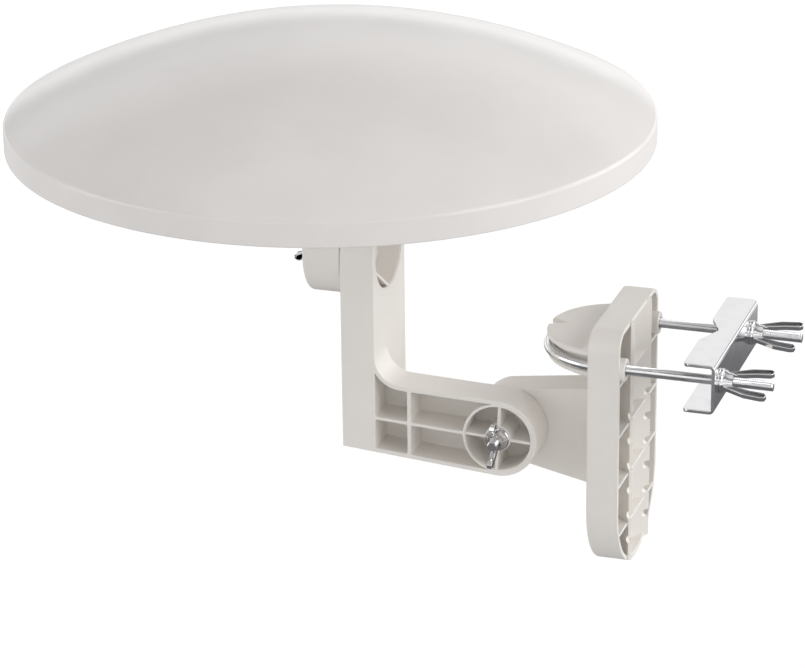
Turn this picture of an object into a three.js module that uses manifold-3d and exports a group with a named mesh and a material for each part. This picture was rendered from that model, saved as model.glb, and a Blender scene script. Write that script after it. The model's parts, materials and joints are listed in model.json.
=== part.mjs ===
// Omnidirectional disc antenna on a tilting arm, held to a mast by a U-bolt clamp.
//
// Units are millimetres and +Z is up. The origin is on the flat floor of the clamp's V groove,
// level with the U-bolt, and +X points from the clamp to the mast. The disc hangs out towards -X.

import * as THREE from 'three';
import { mergeVertices } from 'three/addons/utils/BufferGeometryUtils.js';
import Module from 'manifold-3d';

const wasm = await Module();
wasm.setup();

// ---- Driving dimensions ---------------------------------------------------------------------

const GAP = 0.3; // clearance between pieces that touch

// Mast seat and clamp block
const MAST_RADIUS = 25;
const GROOVE_FLOOR_HALF = 4.2; // half the width of the flat floor of the 90 degree V groove
const MAST_X = MAST_RADIUS * Math.SQRT2 - GROOVE_FLOOR_HALF;
const BLOCK_BACK_X = -6;
const BLOCK_FRONT_X = 12.6;
const TOOTH_TIP_X = 15;
const BLOCK_HALF_WIDTH = 44;
const BLOCK_TOP_Z = 22;
const BLOCK_BOTTOM_Z = -130;
const BLOCK_CORNER_RADIUS = 12;
const WALL = 2.6;
const RIB = 1.8;
const BLOCK_RIB_PITCH = 31;
const BLOCK_RIB_TOP_Z = -9;
const BLOCK_RIB_COUNT = 4;
const NOTCH_TOP_Z = -35;
const NOTCH_PITCH = 15.4;
const NOTCH_COUNT = 6;
const NOTCH_RADIUS = 2.6;
const NOTCH_HALF_LENGTH = 26;

// U-bolt and its saddle
const ROD_RADIUS = 3; // M6 rod
const BEND_RADIUS = 37.5;
const BEND_X = -1.5;
const LEG_END_X = 98.5;
const LEG_BOSS_RADIUS = 6.5;
const SADDLE_RADIUS = 38.6;
const SADDLE_TOP_Z = 9.5;
const SADDLE_FLANGE_THICKNESS = 3.7;
const SADDLE_FOOT_Z = -9.5;
const SADDLE_FOOT_RADIUS = 33.5;
const SADDLE_NOTCH_HALF = 5.5;
const SADDLE_NOTCH_DEPTH = 11;

// Elbow: where the clamp's knuckle and the arm meet
const ELBOW = { x: -60.8, z: -52.5 };
const KNUCKLE_RADIUS = 21;
const KNUCKLE_HALF_THICKNESS = 11;
const KNUCKLE_TOP_AT_BLOCK_Z = -24;
const KNUCKLE_BOTTOM_AT_BLOCK_Z = -86;
const BOLT_HOLE_RADIUS = ROD_RADIUS + 0.4;
const BOSS_RADIUS = 7.6;

// L-shaped arm
const ARM_NEAR_Y = -34.5;
const ARM_FAR_Y = -KNUCKLE_HALF_THICKNESS - GAP;
const LIMB_BACK_X = -154.3;
const LIMB_FRONT_X = -134.3;
const LIMB_HALF_WIDTH = 28.5;
const LIMB_BOTTOM_Z = -68.6;
const ARM_TOP_Z = -26.8; // where the lower limb's top line meets the upright limb
const ARM_FILLET = 16;
const ELBOW_RADIUS = 23;
const ELBOW_POCKET_RADIUS = 19.2;
const ARM_RIB_X = -113.9;
const ARM_RIB_START_Z = -48.8;

// Tilt hinge under the disc
const DISC = { x: -168, y: ARM_NEAR_Y + LIMB_HALF_WIDTH };
const TILT_Z = 46;
const TILT_POCKET_RADIUS = 23.5;
const TILT_POCKET_DEPTH = 14;
const TILT_RIB_DISTANCE = 19; // from the tilt bolt to each of the two ribs in the pocket
const TILT_RIB_LEAN = THREE.MathUtils.degToRad(55);
const LUG_BACK_X = -177;
const HUB_FLANGE_RADIUS = 42;
const HUB_FLANGE_THICKNESS = 5;

// Disc
const DISC_RADIUS = 185;
const RIM_Z = 110;
const SKIRT_HEIGHT = 15;
const DOME_RISE = 47;
const LIP_RADIUS = 3;
const SHELL = 2.5;
const BELLY_Z = 92;
const BELLY_FLAT_RADIUS = 62;
const COVER_EDGE_Z = RIM_Z + 1.5;
const COVER_SCREW_CIRCLE = 171;
const COVER_SCREW_COUNT = 6;
const HUB_SCREW_CIRCLE = 34;
const HUB_SCREW_COUNT = 4;
const ELEMENT_Z = RIM_Z + 8;
const ELEMENT_COUNT = 4;
const BOARD_Z = 101;

// V plate on the far side of the mast
const PLATE_OUTER_X = 69;
const PLATE_TIP_X = 51;
const PLATE_HALF_LENGTH = 53;
const PLATE_HALF_HEIGHT = 14.5;
const PLATE_THICKNESS = 2;
const PLATE_V_SLOPE = 0.45; // rise of each flank of the V for each millimetre sideways

// Fasteners
const WASHER_THICKNESS = 1.2;
const WASHER_RADIUS = 7;
const NUT_HUB_RADIUS = 5.6;
const NUT_HUB_HEIGHT = 5.5;
const WING_HALF_SPAN = 13.7;
const WING_THICKNESS = 2;
const SHORT_WING_REACH = 13;
const LONG_WING_REACH = 26;
const HEX_HEAD_ACROSS_FLATS = 10;
const HEX_HEAD_HEIGHT = 4;
const PLATE_NUT_TURN = THREE.MathUtils.degToRad(13);
const ELBOW_NUT_TURN = THREE.MathUtils.degToRad(4);

// Facets on round shapes
const DISC_FACETS = 48;
const BIG_FACETS = 32;
const MEDIUM_FACETS = 20;
const SMALL_FACETS = 10;

// ---- Materials ------------------------------------------------------------------------------

const material = (color, roughness, metalness) => () =>
  new THREE.MeshStandardMaterial({ color, roughness, metalness });
const whiteShell = material(0xdedad6, 0.4, 0);
const whiteBracket = material(0xdbd7d2, 0.55, 0);
const darkSeal = material(0x2c2c2e, 0.8, 0);
const platedSteel = material(0xc9cacc, 0.25, 1);
const aluminium = material(0xc4c6c8, 0.4, 1);
const boardGreen = material(0x2f6b46, 0.6, 0);
const tinPlate = material(0xb9bcc0, 0.35, 1);
const blackCable = material(0x1d1d1f, 0.7, 0);

// ---- Solid helpers --------------------------------------------------------------------------

function toSolid(geometry) {
  const bare = geometry.clone();
  bare.deleteAttribute('normal');
  bare.deleteAttribute('uv');
  const merged = mergeVertices(bare, 1e-4);
  const vertProperties = new Float32Array(merged.attributes.position.array);
  const triVerts = new Uint32Array(merged.index.array);
  return new wasm.Manifold(new wasm.Mesh({ numProp: 3, vertProperties, triVerts }));
}

function toGeometry(solid) {
  const mesh = solid.getMesh();
  const geometry = new THREE.BufferGeometry();
  const positions = new Float32Array(mesh.vertProperties);
  geometry.setAttribute('position', new THREE.BufferAttribute(positions, 3));
  geometry.setIndex(new THREE.BufferAttribute(new Uint32Array(mesh.triVerts), 1));
  geometry.computeVertexNormals();
  return geometry;
}

const join = (...solids) => solids.reduce((sum, next) => sum.add(next));
const cut = (body, ...tools) => tools.reduce((rest, tool) => rest.subtract(tool), body);

// A box between two opposite corners.
function block([x0, y0, z0], [x1, y1, z1]) {
  const geometry = new THREE.BoxGeometry(x1 - x0, y1 - y0, z1 - z0);
  geometry.translate((x0 + x1) / 2, (y0 + y1) / 2, (z0 + z1) / 2);
  return toSolid(geometry);
}

// A round bar along an axis, between two stations on it, at a place given by the other two.
function bar(axis, from, to, radius, [a, b], facets = MEDIUM_FACETS) {
  const geometry = new THREE.CylinderGeometry(radius, radius, to - from, facets);
  const middle = (from + to) / 2;
  if (axis === 'x') {
    geometry.rotateZ(-Math.PI / 2);
    geometry.translate(middle, a, b);
  } else if (axis === 'y') {
    geometry.translate(a, middle, b);
  } else {
    geometry.rotateX(Math.PI / 2);
    geometry.translate(a, b, middle);
  }
  return toSolid(geometry);
}

function extrude(shape, depth, curveSegments) {
  return new THREE.ExtrudeGeometry(shape, { depth, bevelEnabled: false, curveSegments });
}

// A shape drawn in X and Y, standing from one height to another.
function prismZ(shape, z0, z1, curveSegments = SMALL_FACETS) {
  const geometry = extrude(shape, z1 - z0, curveSegments);
  geometry.translate(0, 0, z0);
  return toSolid(geometry);
}

// A shape drawn in X and Z, running along Y.
function prismY(shape, y0, y1, curveSegments = SMALL_FACETS) {
  const geometry = extrude(shape, y1 - y0, curveSegments);
  geometry.rotateX(Math.PI / 2);
  geometry.translate(0, y1, 0);
  return toSolid(geometry);
}

// A shape drawn in Y and Z, running along X.
function prismX(shape, x0, x1, curveSegments = SMALL_FACETS) {
  const geometry = extrude(shape, x1 - x0, curveSegments);
  const turn = new THREE.Matrix4().makeBasis(
    new THREE.Vector3(0, 1, 0),
    new THREE.Vector3(0, 0, 1),
    new THREE.Vector3(1, 0, 0),
  );
  geometry.applyMatrix4(turn);
  geometry.translate(x0, 0, 0);
  return toSolid(geometry);
}

function polygon(points) {
  return new THREE.Shape(points.map(([x, y]) => new THREE.Vector2(x, y)));
}

function hexagon(acrossFlats, [cx, cy]) {
  const radius = acrossFlats / Math.sqrt(3);
  const corners = [0, 1, 2, 3, 4, 5].map((i) => (i * Math.PI) / 3);
  return polygon(corners.map((a) => [cx + radius * Math.cos(a), cy + radius * Math.sin(a)]));
}

// A turned shape about the disc's upright centre line. The profile is [radius, height] pairs.
function turned(profile, facets = DISC_FACETS) {
  const points = profile.map(([r, z]) => new THREE.Vector2(r, z));
  const geometry = new THREE.LatheGeometry(points, facets);
  geometry.rotateX(Math.PI / 2);
  return toSolid(geometry);
}

const atDisc = (solid) => solid.translate([DISC.x, DISC.y, 0]);

// Evenly spaced places on a circle round the disc's centre line.
function aroundDisc(count, radius, startAngle = 0) {
  return Array.from({ length: count }, (_, i) => {
    const angle = startAngle + (i * 2 * Math.PI) / count;
    return [DISC.x + radius * Math.cos(angle), DISC.y + radius * Math.sin(angle)];
  });
}

// ---- Outlines -------------------------------------------------------------------------------

// The clamp block seen along X: square shoulders with rounded corners, and a half-round foot.
function blockOutline(inset) {
  const half = BLOCK_HALF_WIDTH - inset;
  const top = BLOCK_TOP_Z - inset;
  const corner = BLOCK_CORNER_RADIUS - inset;
  const footZ = BLOCK_BOTTOM_Z + BLOCK_HALF_WIDTH;
  const shape = new THREE.Shape();
  shape.moveTo(half, footZ);
  shape.lineTo(half, top - corner);
  shape.absarc(half - corner, top - corner, corner, 0, Math.PI / 2, false);
  shape.lineTo(corner - half, top);
  shape.absarc(corner - half, top - corner, corner, Math.PI / 2, Math.PI, false);
  shape.lineTo(-half, footZ);
  shape.absarc(0, footZ, half, Math.PI, 2 * Math.PI, false);
  return shape;
}

// The angle on a circle where a straight line from a point touches it. Side is +1 or -1.
function tangentAngle(point, centre, radius, side) {
  const dx = point.x - centre.x;
  const dz = point.z - centre.z;
  const distance = Math.hypot(dx, dz);
  return Math.atan2(dz, dx) + side * Math.acos(radius / distance);
}

// The knuckle seen along Y: a round end with two straight flanks that widen to the block.
function knuckleOutline(inset) {
  const radius = KNUCKLE_RADIUS - inset;
  const top = { x: BLOCK_BACK_X + 1, z: KNUCKLE_TOP_AT_BLOCK_Z - inset };
  const bottom = { x: BLOCK_BACK_X + 1, z: KNUCKLE_BOTTOM_AT_BLOCK_Z + inset };
  const topAngle = tangentAngle(top, ELBOW, radius, 1);
  const bottomAngle = tangentAngle(bottom, ELBOW, radius, -1);
  const shape = new THREE.Shape();
  shape.moveTo(bottom.x, bottom.z);
  shape.lineTo(top.x, top.z);
  shape.absarc(ELBOW.x, ELBOW.z, radius, topAngle, bottomAngle + 2 * Math.PI, false);
  return shape;
}

// The arm's lower limb seen along Y, with the inside fillet and the round elbow. The outline that
// is drawn with an inset bounds the open cells, which start at the upright limb's front face.
function lowerLimbOutline(inset) {
  const radius = ELBOW_RADIUS - inset;
  const bottom = { x: LIMB_BACK_X, z: LIMB_BOTTOM_Z + inset };
  const top = { x: LIMB_FRONT_X, z: ARM_TOP_Z - inset };
  const bottomAngle = tangentAngle(bottom, ELBOW, radius, 1);
  const topAngle = tangentAngle(top, ELBOW, radius, -1);
  const topSlope = Math.tan(topAngle - Math.PI / 2);
  const bottomSlope = Math.tan(bottomAngle + Math.PI / 2);
  const startX = inset > 0 ? LIMB_FRONT_X : LIMB_FRONT_X - WALL;
  const filletRadius = ARM_FILLET + inset;
  const filletX = LIMB_FRONT_X + ARM_FILLET;
  const filletZ = top.z + topSlope * ARM_FILLET + filletRadius;
  const filletEnd = Math.acos(ARM_FILLET / filletRadius) - Math.PI;
  const shape = new THREE.Shape();
  shape.moveTo(startX, bottom.z + bottomSlope * (startX - bottom.x));
  shape.lineTo(ELBOW.x + radius * Math.cos(bottomAngle), ELBOW.z + radius * Math.sin(bottomAngle));
  shape.absarc(ELBOW.x, ELBOW.z, radius, bottomAngle, topAngle, false);
  shape.absarc(filletX, filletZ, filletRadius, -Math.PI / 2, filletEnd, true);
  shape.lineTo(startX, filletZ + filletRadius * Math.sin(filletEnd));
  return shape;
}

// The upright limb, and the lug that meets it, seen along X: a plate with a round end.
function roundEndOutline(endZ, inset) {
  const half = LIMB_HALF_WIDTH - inset;
  const shape = new THREE.Shape();
  if (endZ < TILT_Z) {
    shape.moveTo(DISC.y - half, endZ + inset);
    shape.lineTo(DISC.y + half, endZ + inset);
    shape.absarc(DISC.y, TILT_Z, half, 0, Math.PI, false);
  } else {
    shape.moveTo(DISC.y + half, endZ);
    shape.lineTo(DISC.y - half, endZ);
    shape.absarc(DISC.y, TILT_Z, half, Math.PI, 2 * Math.PI, false);
  }
  return shape;
}

// ---- Clamp ----------------------------------------------------------------------------------

// The clear space of the V groove, drawn in X and Y.
function grooveOutline() {
  const reach = TOOTH_TIP_X + 5;
  return polygon([
    [0, -GROOVE_FLOOR_HALF],
    [reach, -GROOVE_FLOOR_HALF - reach],
    [reach, GROOVE_FLOOR_HALF + reach],
    [0, GROOVE_FLOOR_HALF],
  ]);
}

// The two flanks of the groove as walls of even thickness, tied to the block's back. The groove
// itself is cut from this outline afterwards.
function grooveWallOutline() {
  const across = WALL / Math.SQRT2;
  const tipY = GROOVE_FLOOR_HALF + TOOTH_TIP_X;
  const rootY = GROOVE_FLOOR_HALF + WALL * (Math.SQRT2 - 1);
  return polygon([
    [BLOCK_BACK_X + 1, -rootY],
    [-WALL, -rootY],
    [TOOTH_TIP_X - across, -tipY - across],
    [TOOTH_TIP_X, -tipY],
    [TOOTH_TIP_X, tipY],
    [TOOTH_TIP_X - across, tipY + across],
    [-WALL, rootY],
    [BLOCK_BACK_X + 1, rootY],
  ]);
}

function clampBlock() {
  const shell = cut(
    prismX(blockOutline(0), BLOCK_BACK_X, BLOCK_FRONT_X, 10),
    prismX(blockOutline(WALL), BLOCK_BACK_X + WALL, BLOCK_FRONT_X + 1, 10),
  );
  const envelope = prismX(blockOutline(0), BLOCK_BACK_X, TOOTH_TIP_X + 1, 10);
  const walls = prismZ(grooveWallOutline(), BLOCK_BOTTOM_Z, BLOCK_TOP_Z);
  const ribs = Array.from({ length: BLOCK_RIB_COUNT }, (_, i) => {
    const z = BLOCK_RIB_TOP_Z - i * BLOCK_RIB_PITCH;
    return block(
      [BLOCK_BACK_X + 1, -BLOCK_HALF_WIDTH, z - RIB / 2],
      [BLOCK_FRONT_X - 0.5, BLOCK_HALF_WIDTH, z + RIB / 2],
    );
  });
  const bosses = [-1, 1].map((side) =>
    bar('x', BLOCK_BACK_X, TOOTH_TIP_X + GAP, LEG_BOSS_RADIUS, [side * BEND_RADIUS, 0]));
  const inside = join(walls, ...ribs, ...bosses).intersect(envelope);
  const notches = Array.from({ length: NOTCH_COUNT }, (_, i) => {
    const z = NOTCH_TOP_Z - i * NOTCH_PITCH;
    const place = [TOOTH_TIP_X - 0.8, z];
    return bar('y', -NOTCH_HALF_LENGTH, NOTCH_HALF_LENGTH, NOTCH_RADIUS, place, SMALL_FACETS);
  });
  const groove = prismZ(grooveOutline(), BLOCK_BOTTOM_Z - 1, BLOCK_TOP_Z + 1);
  return cut(join(shell, inside), groove, ...notches);
}

// The half-round saddle that the U-bolt's bend sits in: a flange, a groove and a tapered foot.
function saddle() {
  const shelf = -ROD_RADIUS - GAP;
  const bed = BEND_RADIUS - ROD_RADIUS - GAP;
  const flangeZ = SADDLE_TOP_Z - SADDLE_FLANGE_THICKNESS;
  const profile = [
    [0, SADDLE_FOOT_Z],
    [SADDLE_FOOT_RADIUS, SADDLE_FOOT_Z],
    [SADDLE_RADIUS - 0.6, shelf - 2.5],
    [SADDLE_RADIUS - 0.6, shelf],
    [bed, shelf],
    [bed, flangeZ],
    [SADDLE_RADIUS, flangeZ],
    [SADDLE_RADIUS, SADDLE_TOP_Z - 1],
    [SADDLE_RADIUS - 1, SADDLE_TOP_Z],
    [0, SADDLE_TOP_Z],
  ];
  const round = turned(profile, BIG_FACETS).translate([BEND_X, 0, 0]);
  const keep = block(
    [BEND_X - SADDLE_RADIUS - 1, -50, SADDLE_FOOT_Z - 1],
    [BLOCK_BACK_X + 1, 50, SADDLE_TOP_Z + 1],
  );
  const rimX = BEND_X - SADDLE_RADIUS;
  const notch = prismZ(polygon([
    [rimX - 2, -SADDLE_NOTCH_HALF - 1],
    [rimX + SADDLE_NOTCH_DEPTH, 0],
    [rimX - 2, SADDLE_NOTCH_HALF + 1],
  ]), shelf, SADDLE_TOP_Z + 1);
  return cut(round.intersect(keep), notch);
}

// The knuckle is a moulded box, closed on the side that meets the arm and ribbed on the other.
function knuckle() {
  const half = KNUCKLE_HALF_THICKNESS;
  const skin = prismY(knuckleOutline(0), -half, half);
  const ribX = [-32, -12];
  const uprights = ribX.map((x) => block([x - RIB / 2, -half, -100], [x + RIB / 2, half, 0]));
  const spine = block([ELBOW.x, -half, ELBOW.z - RIB / 2], [BLOCK_BACK_X + 1, half, ELBOW.z + RIB / 2]);
  const ring = bar('y', -half, half, KNUCKLE_RADIUS - WALL + RIB, [ELBOW.x, ELBOW.z], BIG_FACETS);
  const cells = cut(prismY(knuckleOutline(WALL), WALL - half, half + 1), ring, ...uprights, spine);
  const crossUp = block([ELBOW.x - RIB / 2, -half, -100], [ELBOW.x + RIB / 2, half, 0]);
  const crossFlat = block([-100, -half, ELBOW.z - RIB / 2], [0, half, ELBOW.z + RIB / 2]);
  const boss = bar('y', -half, half, BOSS_RADIUS + 1.5, [ELBOW.x, ELBOW.z]);
  const pocket = cut(
    bar('y', WALL - half, half + 1, KNUCKLE_RADIUS - WALL, [ELBOW.x, ELBOW.z], BIG_FACETS),
    crossUp, crossFlat, boss,
  );
  const seatShape = hexagon(HEX_HEAD_ACROSS_FLATS + 2 * GAP, [ELBOW.x, ELBOW.z]);
  const headSeat = prismY(seatShape, half - HEX_HEAD_HEIGHT - GAP, half + 1);
  const bore = bar('y', -half - 1, half + 1, BOLT_HOLE_RADIUS, [ELBOW.x, ELBOW.z]);
  return cut(skin, cells, pocket, headSeat, bore);
}

function clampBody() {
  const legHoles = [-1, 1].map((side) =>
    bar('x', BLOCK_BACK_X - 1, TOOTH_TIP_X + 2, ROD_RADIUS + 0.6, [side * BEND_RADIUS, 0]));
  return cut(join(clampBlock(), saddle(), knuckle()), ...legHoles);
}

function uBolt() {
  const corners = Array.from({ length: SMALL_FACETS + 1 }, (_, i) => (i * 2 * Math.PI) / SMALL_FACETS);
  const section = corners.map((a) => [BEND_RADIUS + ROD_RADIUS * Math.cos(a), ROD_RADIUS * Math.sin(a)]);
  const ring = turned(section, BIG_FACETS).translate([BEND_X, 0, 0]);
  const behind = block([BEND_X - 50, -50, -10], [BEND_X, 50, 10]);
  const legShape = (y) => polygon(corners.slice(0, -1).map((a) => [
    y + ROD_RADIUS * Math.cos(a),
    ROD_RADIUS * Math.sin(a),
  ]));
  const legs = [-1, 1].map((side) => prismX(legShape(side * BEND_RADIUS), BEND_X, LEG_END_X));
  return join(ring.intersect(behind), ...legs);
}

// ---- V plate --------------------------------------------------------------------------------

function clampPlate() {
  const outer = block(
    [PLATE_TIP_X, -PLATE_HALF_LENGTH, -PLATE_HALF_HEIGHT],
    [PLATE_OUTER_X, PLATE_HALF_LENGTH, PLATE_HALF_HEIGHT],
  );
  const inner = block(
    [PLATE_TIP_X - 1, -PLATE_HALF_LENGTH - 1, PLATE_THICKNESS - PLATE_HALF_HEIGHT],
    [PLATE_OUTER_X - PLATE_THICKNESS, PLATE_HALF_LENGTH + 1, PLATE_HALF_HEIGHT - PLATE_THICKNESS],
  );
  const apexX = MAST_X + MAST_RADIUS * Math.hypot(1, PLATE_V_SLOPE);
  const mouthX = PLATE_TIP_X - 1;
  const mouthHalf = (apexX - mouthX) / PLATE_V_SLOPE;
  const vee = prismZ(polygon([[mouthX, -mouthHalf], [apexX, 0], [mouthX, mouthHalf]]), -20, 20);
  const holes = [-1, 1].map((side) =>
    bar('x', PLATE_TIP_X, PLATE_OUTER_X + 1, ROD_RADIUS + 0.5, [side * BEND_RADIUS, 0], SMALL_FACETS));
  return cut(outer, inner, vee, ...holes);
}

// ---- Fasteners, built along +Z from the face they bear on ------------------------------------

function washer(radius = WASHER_RADIUS) {
  return cut(
    bar('z', 0, WASHER_THICKNESS, radius, [0, 0], MEDIUM_FACETS),
    bar('z', -1, WASHER_THICKNESS + 1, ROD_RADIUS + 0.4, [0, 0], SMALL_FACETS),
  );
}

function wingNut(reach) {
  const hub = bar('z', 0, NUT_HUB_HEIGHT, NUT_HUB_RADIUS, [0, 0], MEDIUM_FACETS);
  const root = ROD_RADIUS + 1.2;
  const wing = [
    [root, 0.4],
    [NUT_HUB_RADIUS + 1.4, 0.4],
    [WING_HALF_SPAN - 1, reach * 0.55],
    [WING_HALF_SPAN, reach - 2],
    [WING_HALF_SPAN - 2, reach],
    [WING_HALF_SPAN - 4.5, reach - 2],
    [NUT_HUB_RADIUS - 0.4, NUT_HUB_HEIGHT + 1],
    [root, NUT_HUB_HEIGHT],
  ];
  const half = WING_THICKNESS / 2;
  const right = prismY(polygon(wing), -half, half);
  const left = prismY(polygon(wing.map(([x, z]) => [-x, z]).reverse()), -half, half);
  const bore = bar('z', -1, reach, ROD_RADIUS + GAP, [0, 0], SMALL_FACETS);
  return cut(join(hub, right, left), bore);
}

function hexBolt(length) {
  const head = prismZ(hexagon(HEX_HEAD_ACROSS_FLATS, [0, 0]), -HEX_HEAD_HEIGHT, 0);
  return join(head, bar('z', -1, length, ROD_RADIUS, [0, 0], SMALL_FACETS));
}

function panScrew(shankRadius, shankLength, headRadius, headHeight) {
  const profile = [
    [0, -headHeight],
    [headRadius * 0.7, -headHeight],
    [headRadius, -headHeight * 0.45],
    [headRadius, 0],
    [shankRadius, 0],
    [shankRadius, shankLength],
    [0, shankLength],
  ];
  return turned(profile, SMALL_FACETS);
}

// ---- Arm ------------------------------------------------------------------------------------

// The upright limb: smooth outside, open and ribbed on the side away from the mast.
function uprightLimb() {
  const skin = prismX(roundEndOutline(LIMB_BOTTOM_Z, 0), LIMB_BACK_X, LIMB_FRONT_X, MEDIUM_FACETS);
  const cellTop = TILT_Z - LIMB_HALF_WIDTH - WALL;
  const cells = block(
    [LIMB_BACK_X - 1, DISC.y - LIMB_HALF_WIDTH + WALL, LIMB_BOTTOM_Z + WALL],
    [LIMB_FRONT_X - WALL, DISC.y + LIMB_HALF_WIDTH - WALL, cellTop],
  );
  const ribStep = (cellTop - LIMB_BOTTOM_Z) / 3;
  const ribs = [1, 2].map((i) => {
    const z = LIMB_BOTTOM_Z + i * ribStep;
    return block([LIMB_BACK_X + 0.5, -100, z - RIB / 2], [LIMB_FRONT_X, 100, z + RIB / 2]);
  });
  const spine = block([LIMB_BACK_X + 0.5, DISC.y - RIB / 2, -100], [LIMB_FRONT_X, DISC.y + RIB / 2, 100]);
  return cut(skin, cut(cells, ...ribs, spine));
}

// The deep round pocket at the tilt bolt, with a slanting rib on each side of the bolt.
function tiltPocket() {
  const floorX = LIMB_FRONT_X - TILT_POCKET_DEPTH;
  const recess = bar('x', floorX, LIMB_FRONT_X + 1, TILT_POCKET_RADIUS, [DISC.y, TILT_Z], BIG_FACETS);
  const out = [Math.cos(TILT_RIB_LEAN), Math.sin(TILT_RIB_LEAN)];
  const ribs = [-1, 1].map((side) => {
    const corner = (distance, along) => [
      DISC.y + side * (out[0] * distance - out[1] * along),
      TILT_Z + side * (out[1] * distance + out[0] * along),
    ];
    const [inner, outer] = [TILT_RIB_DISTANCE - RIB / 2, TILT_RIB_DISTANCE + RIB / 2];
    const reach = TILT_POCKET_RADIUS;
    const near = [corner(inner, -reach), corner(outer, -reach)];
    const far = [corner(outer, reach), corner(inner, reach)];
    return prismX(polygon([...near, ...far]), floorX, LIMB_FRONT_X - 0.5);
  });
  return cut(recess, ...ribs);
}

function lowerLimb() {
  return prismY(lowerLimbOutline(0), ARM_NEAR_Y, ARM_FAR_Y);
}

// The open cells of the lower limb, cut from its near side down to a thin back wall.
function lowerLimbCells() {
  const near = ARM_NEAR_Y - 1;
  const floor = ARM_FAR_Y - WALL;
  const ringRadius = ELBOW_POCKET_RADIUS + RIB * 0.9;
  const ring = bar('y', near, ARM_FAR_Y, ringRadius, [ELBOW.x, ELBOW.z], BIG_FACETS);
  const upright = block([ARM_RIB_X - RIB * 0.6, near, -100], [ARM_RIB_X + RIB * 0.6, ARM_FAR_Y, 0]);
  const spineShape = polygon([
    [LIMB_FRONT_X - 5, ARM_RIB_START_Z - RIB / 2],
    [ELBOW.x, ELBOW.z - RIB / 2],
    [ELBOW.x, ELBOW.z + RIB / 2],
    [LIMB_FRONT_X - 5, ARM_RIB_START_Z + RIB / 2],
  ]);
  const spine = prismY(spineShape, near, ARM_FAR_Y);
  return cut(prismY(lowerLimbOutline(WALL), near, floor), ring, upright, spine);
}

// The round pocket at the elbow, with a cross of ribs and a boss for the bolt.
function elbowPocket() {
  const near = ARM_NEAR_Y - 1;
  const floor = ARM_FAR_Y - WALL;
  const recess = bar('y', near, floor, ELBOW_POCKET_RADIUS, [ELBOW.x, ELBOW.z], BIG_FACETS);
  const tilt = Math.atan2(ELBOW.z - ARM_RIB_START_Z, ELBOW.x - LIMB_FRONT_X);
  const reach = ELBOW_RADIUS - 1;
  const arms = [tilt, tilt + Math.PI / 2].map((angle) => {
    const along = [Math.cos(angle) * reach, Math.sin(angle) * reach];
    const across = [-Math.sin(angle) * RIB / 2, Math.cos(angle) * RIB / 2];
    return prismY(polygon([
      [ELBOW.x - along[0] - across[0], ELBOW.z - along[1] - across[1]],
      [ELBOW.x + along[0] - across[0], ELBOW.z + along[1] - across[1]],
      [ELBOW.x + along[0] + across[0], ELBOW.z + along[1] + across[1]],
      [ELBOW.x - along[0] + across[0], ELBOW.z - along[1] + across[1]],
    ]), ARM_NEAR_Y + 0.4, ARM_FAR_Y);
  });
  const boss = bar('y', ARM_NEAR_Y + 0.5, ARM_FAR_Y, BOSS_RADIUS, [ELBOW.x, ELBOW.z]);
  return cut(recess, ...arms, boss);
}

function lArm() {
  const elbowBore = bar('y', ARM_NEAR_Y - 1, ARM_FAR_Y + 1, BOLT_HOLE_RADIUS, [ELBOW.x, ELBOW.z]);
  const tiltBore = bar('x', LIMB_BACK_X - 1, LIMB_FRONT_X, BOLT_HOLE_RADIUS, [DISC.y, TILT_Z]);
  return cut(
    join(uprightLimb(), lowerLimb()),
    lowerLimbCells(), elbowPocket(), tiltPocket(), elbowBore, tiltBore,
  );
}

// ---- Disc -----------------------------------------------------------------------------------

const domeHeight = (r, rise) => RIM_Z + SKIRT_HEIGHT + rise * (1 - (r / DISC_RADIUS) ** 2);

function radomeProfile() {
  const lipCentre = { r: DISC_RADIUS - LIP_RADIUS, z: RIM_Z + SKIRT_HEIGHT - LIP_RADIUS + 0.8 };
  const inner = DISC_RADIUS - SHELL;
  const outerDome = [0, 30, 60, 88, 112, 133, 151, 166, 177].map((r) => [r, domeHeight(r, DOME_RISE)]);
  const lip = [65, 35, 0].map((degrees) => {
    const angle = THREE.MathUtils.degToRad(degrees);
    return [lipCentre.r + LIP_RADIUS * Math.cos(angle), lipCentre.z + LIP_RADIUS * Math.sin(angle)];
  });
  const innerDome = [inner, 150, 110, 60, 0].map((r) => [r, domeHeight(r, DOME_RISE) - SHELL]);
  return [...outerDome, ...lip, [DISC_RADIUS, RIM_Z], [inner, RIM_Z], ...innerDome].reverse();
}

function radomeTop() {
  const shell = atDisc(turned(radomeProfile()));
  const postRadius = 4;
  const postTop = domeHeight(COVER_SCREW_CIRCLE + postRadius, DOME_RISE) - SHELL / 2;
  const postFoot = COVER_EDGE_Z + SHELL + 2;
  const places = aroundDisc(COVER_SCREW_COUNT, COVER_SCREW_CIRCLE);
  const posts = places.map((p) => bar('z', postFoot, postTop, postRadius, p, SMALL_FACETS));
  const bores = places.map((p) => bar('z', postFoot - 1, postFoot + 8, 1.8, p, SMALL_FACETS));
  return cut(join(shell, ...posts), ...bores);
}

function coverProfile() {
  const edge = DISC_RADIUS - SHELL - GAP;
  const under = [
    [0, BELLY_Z],
    [BELLY_FLAT_RADIUS, BELLY_Z],
    [96, BELLY_Z + 4],
    [150, COVER_EDGE_Z - 2.5],
    [164, COVER_EDGE_Z],
    [edge, COVER_EDGE_Z],
  ];
  const over = under.map(([r, z]) => [r, z + SHELL]).reverse();
  return [...under, ...over];
}

const F_CONNECTOR = [DISC.x - 52, DISC.y];

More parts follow.
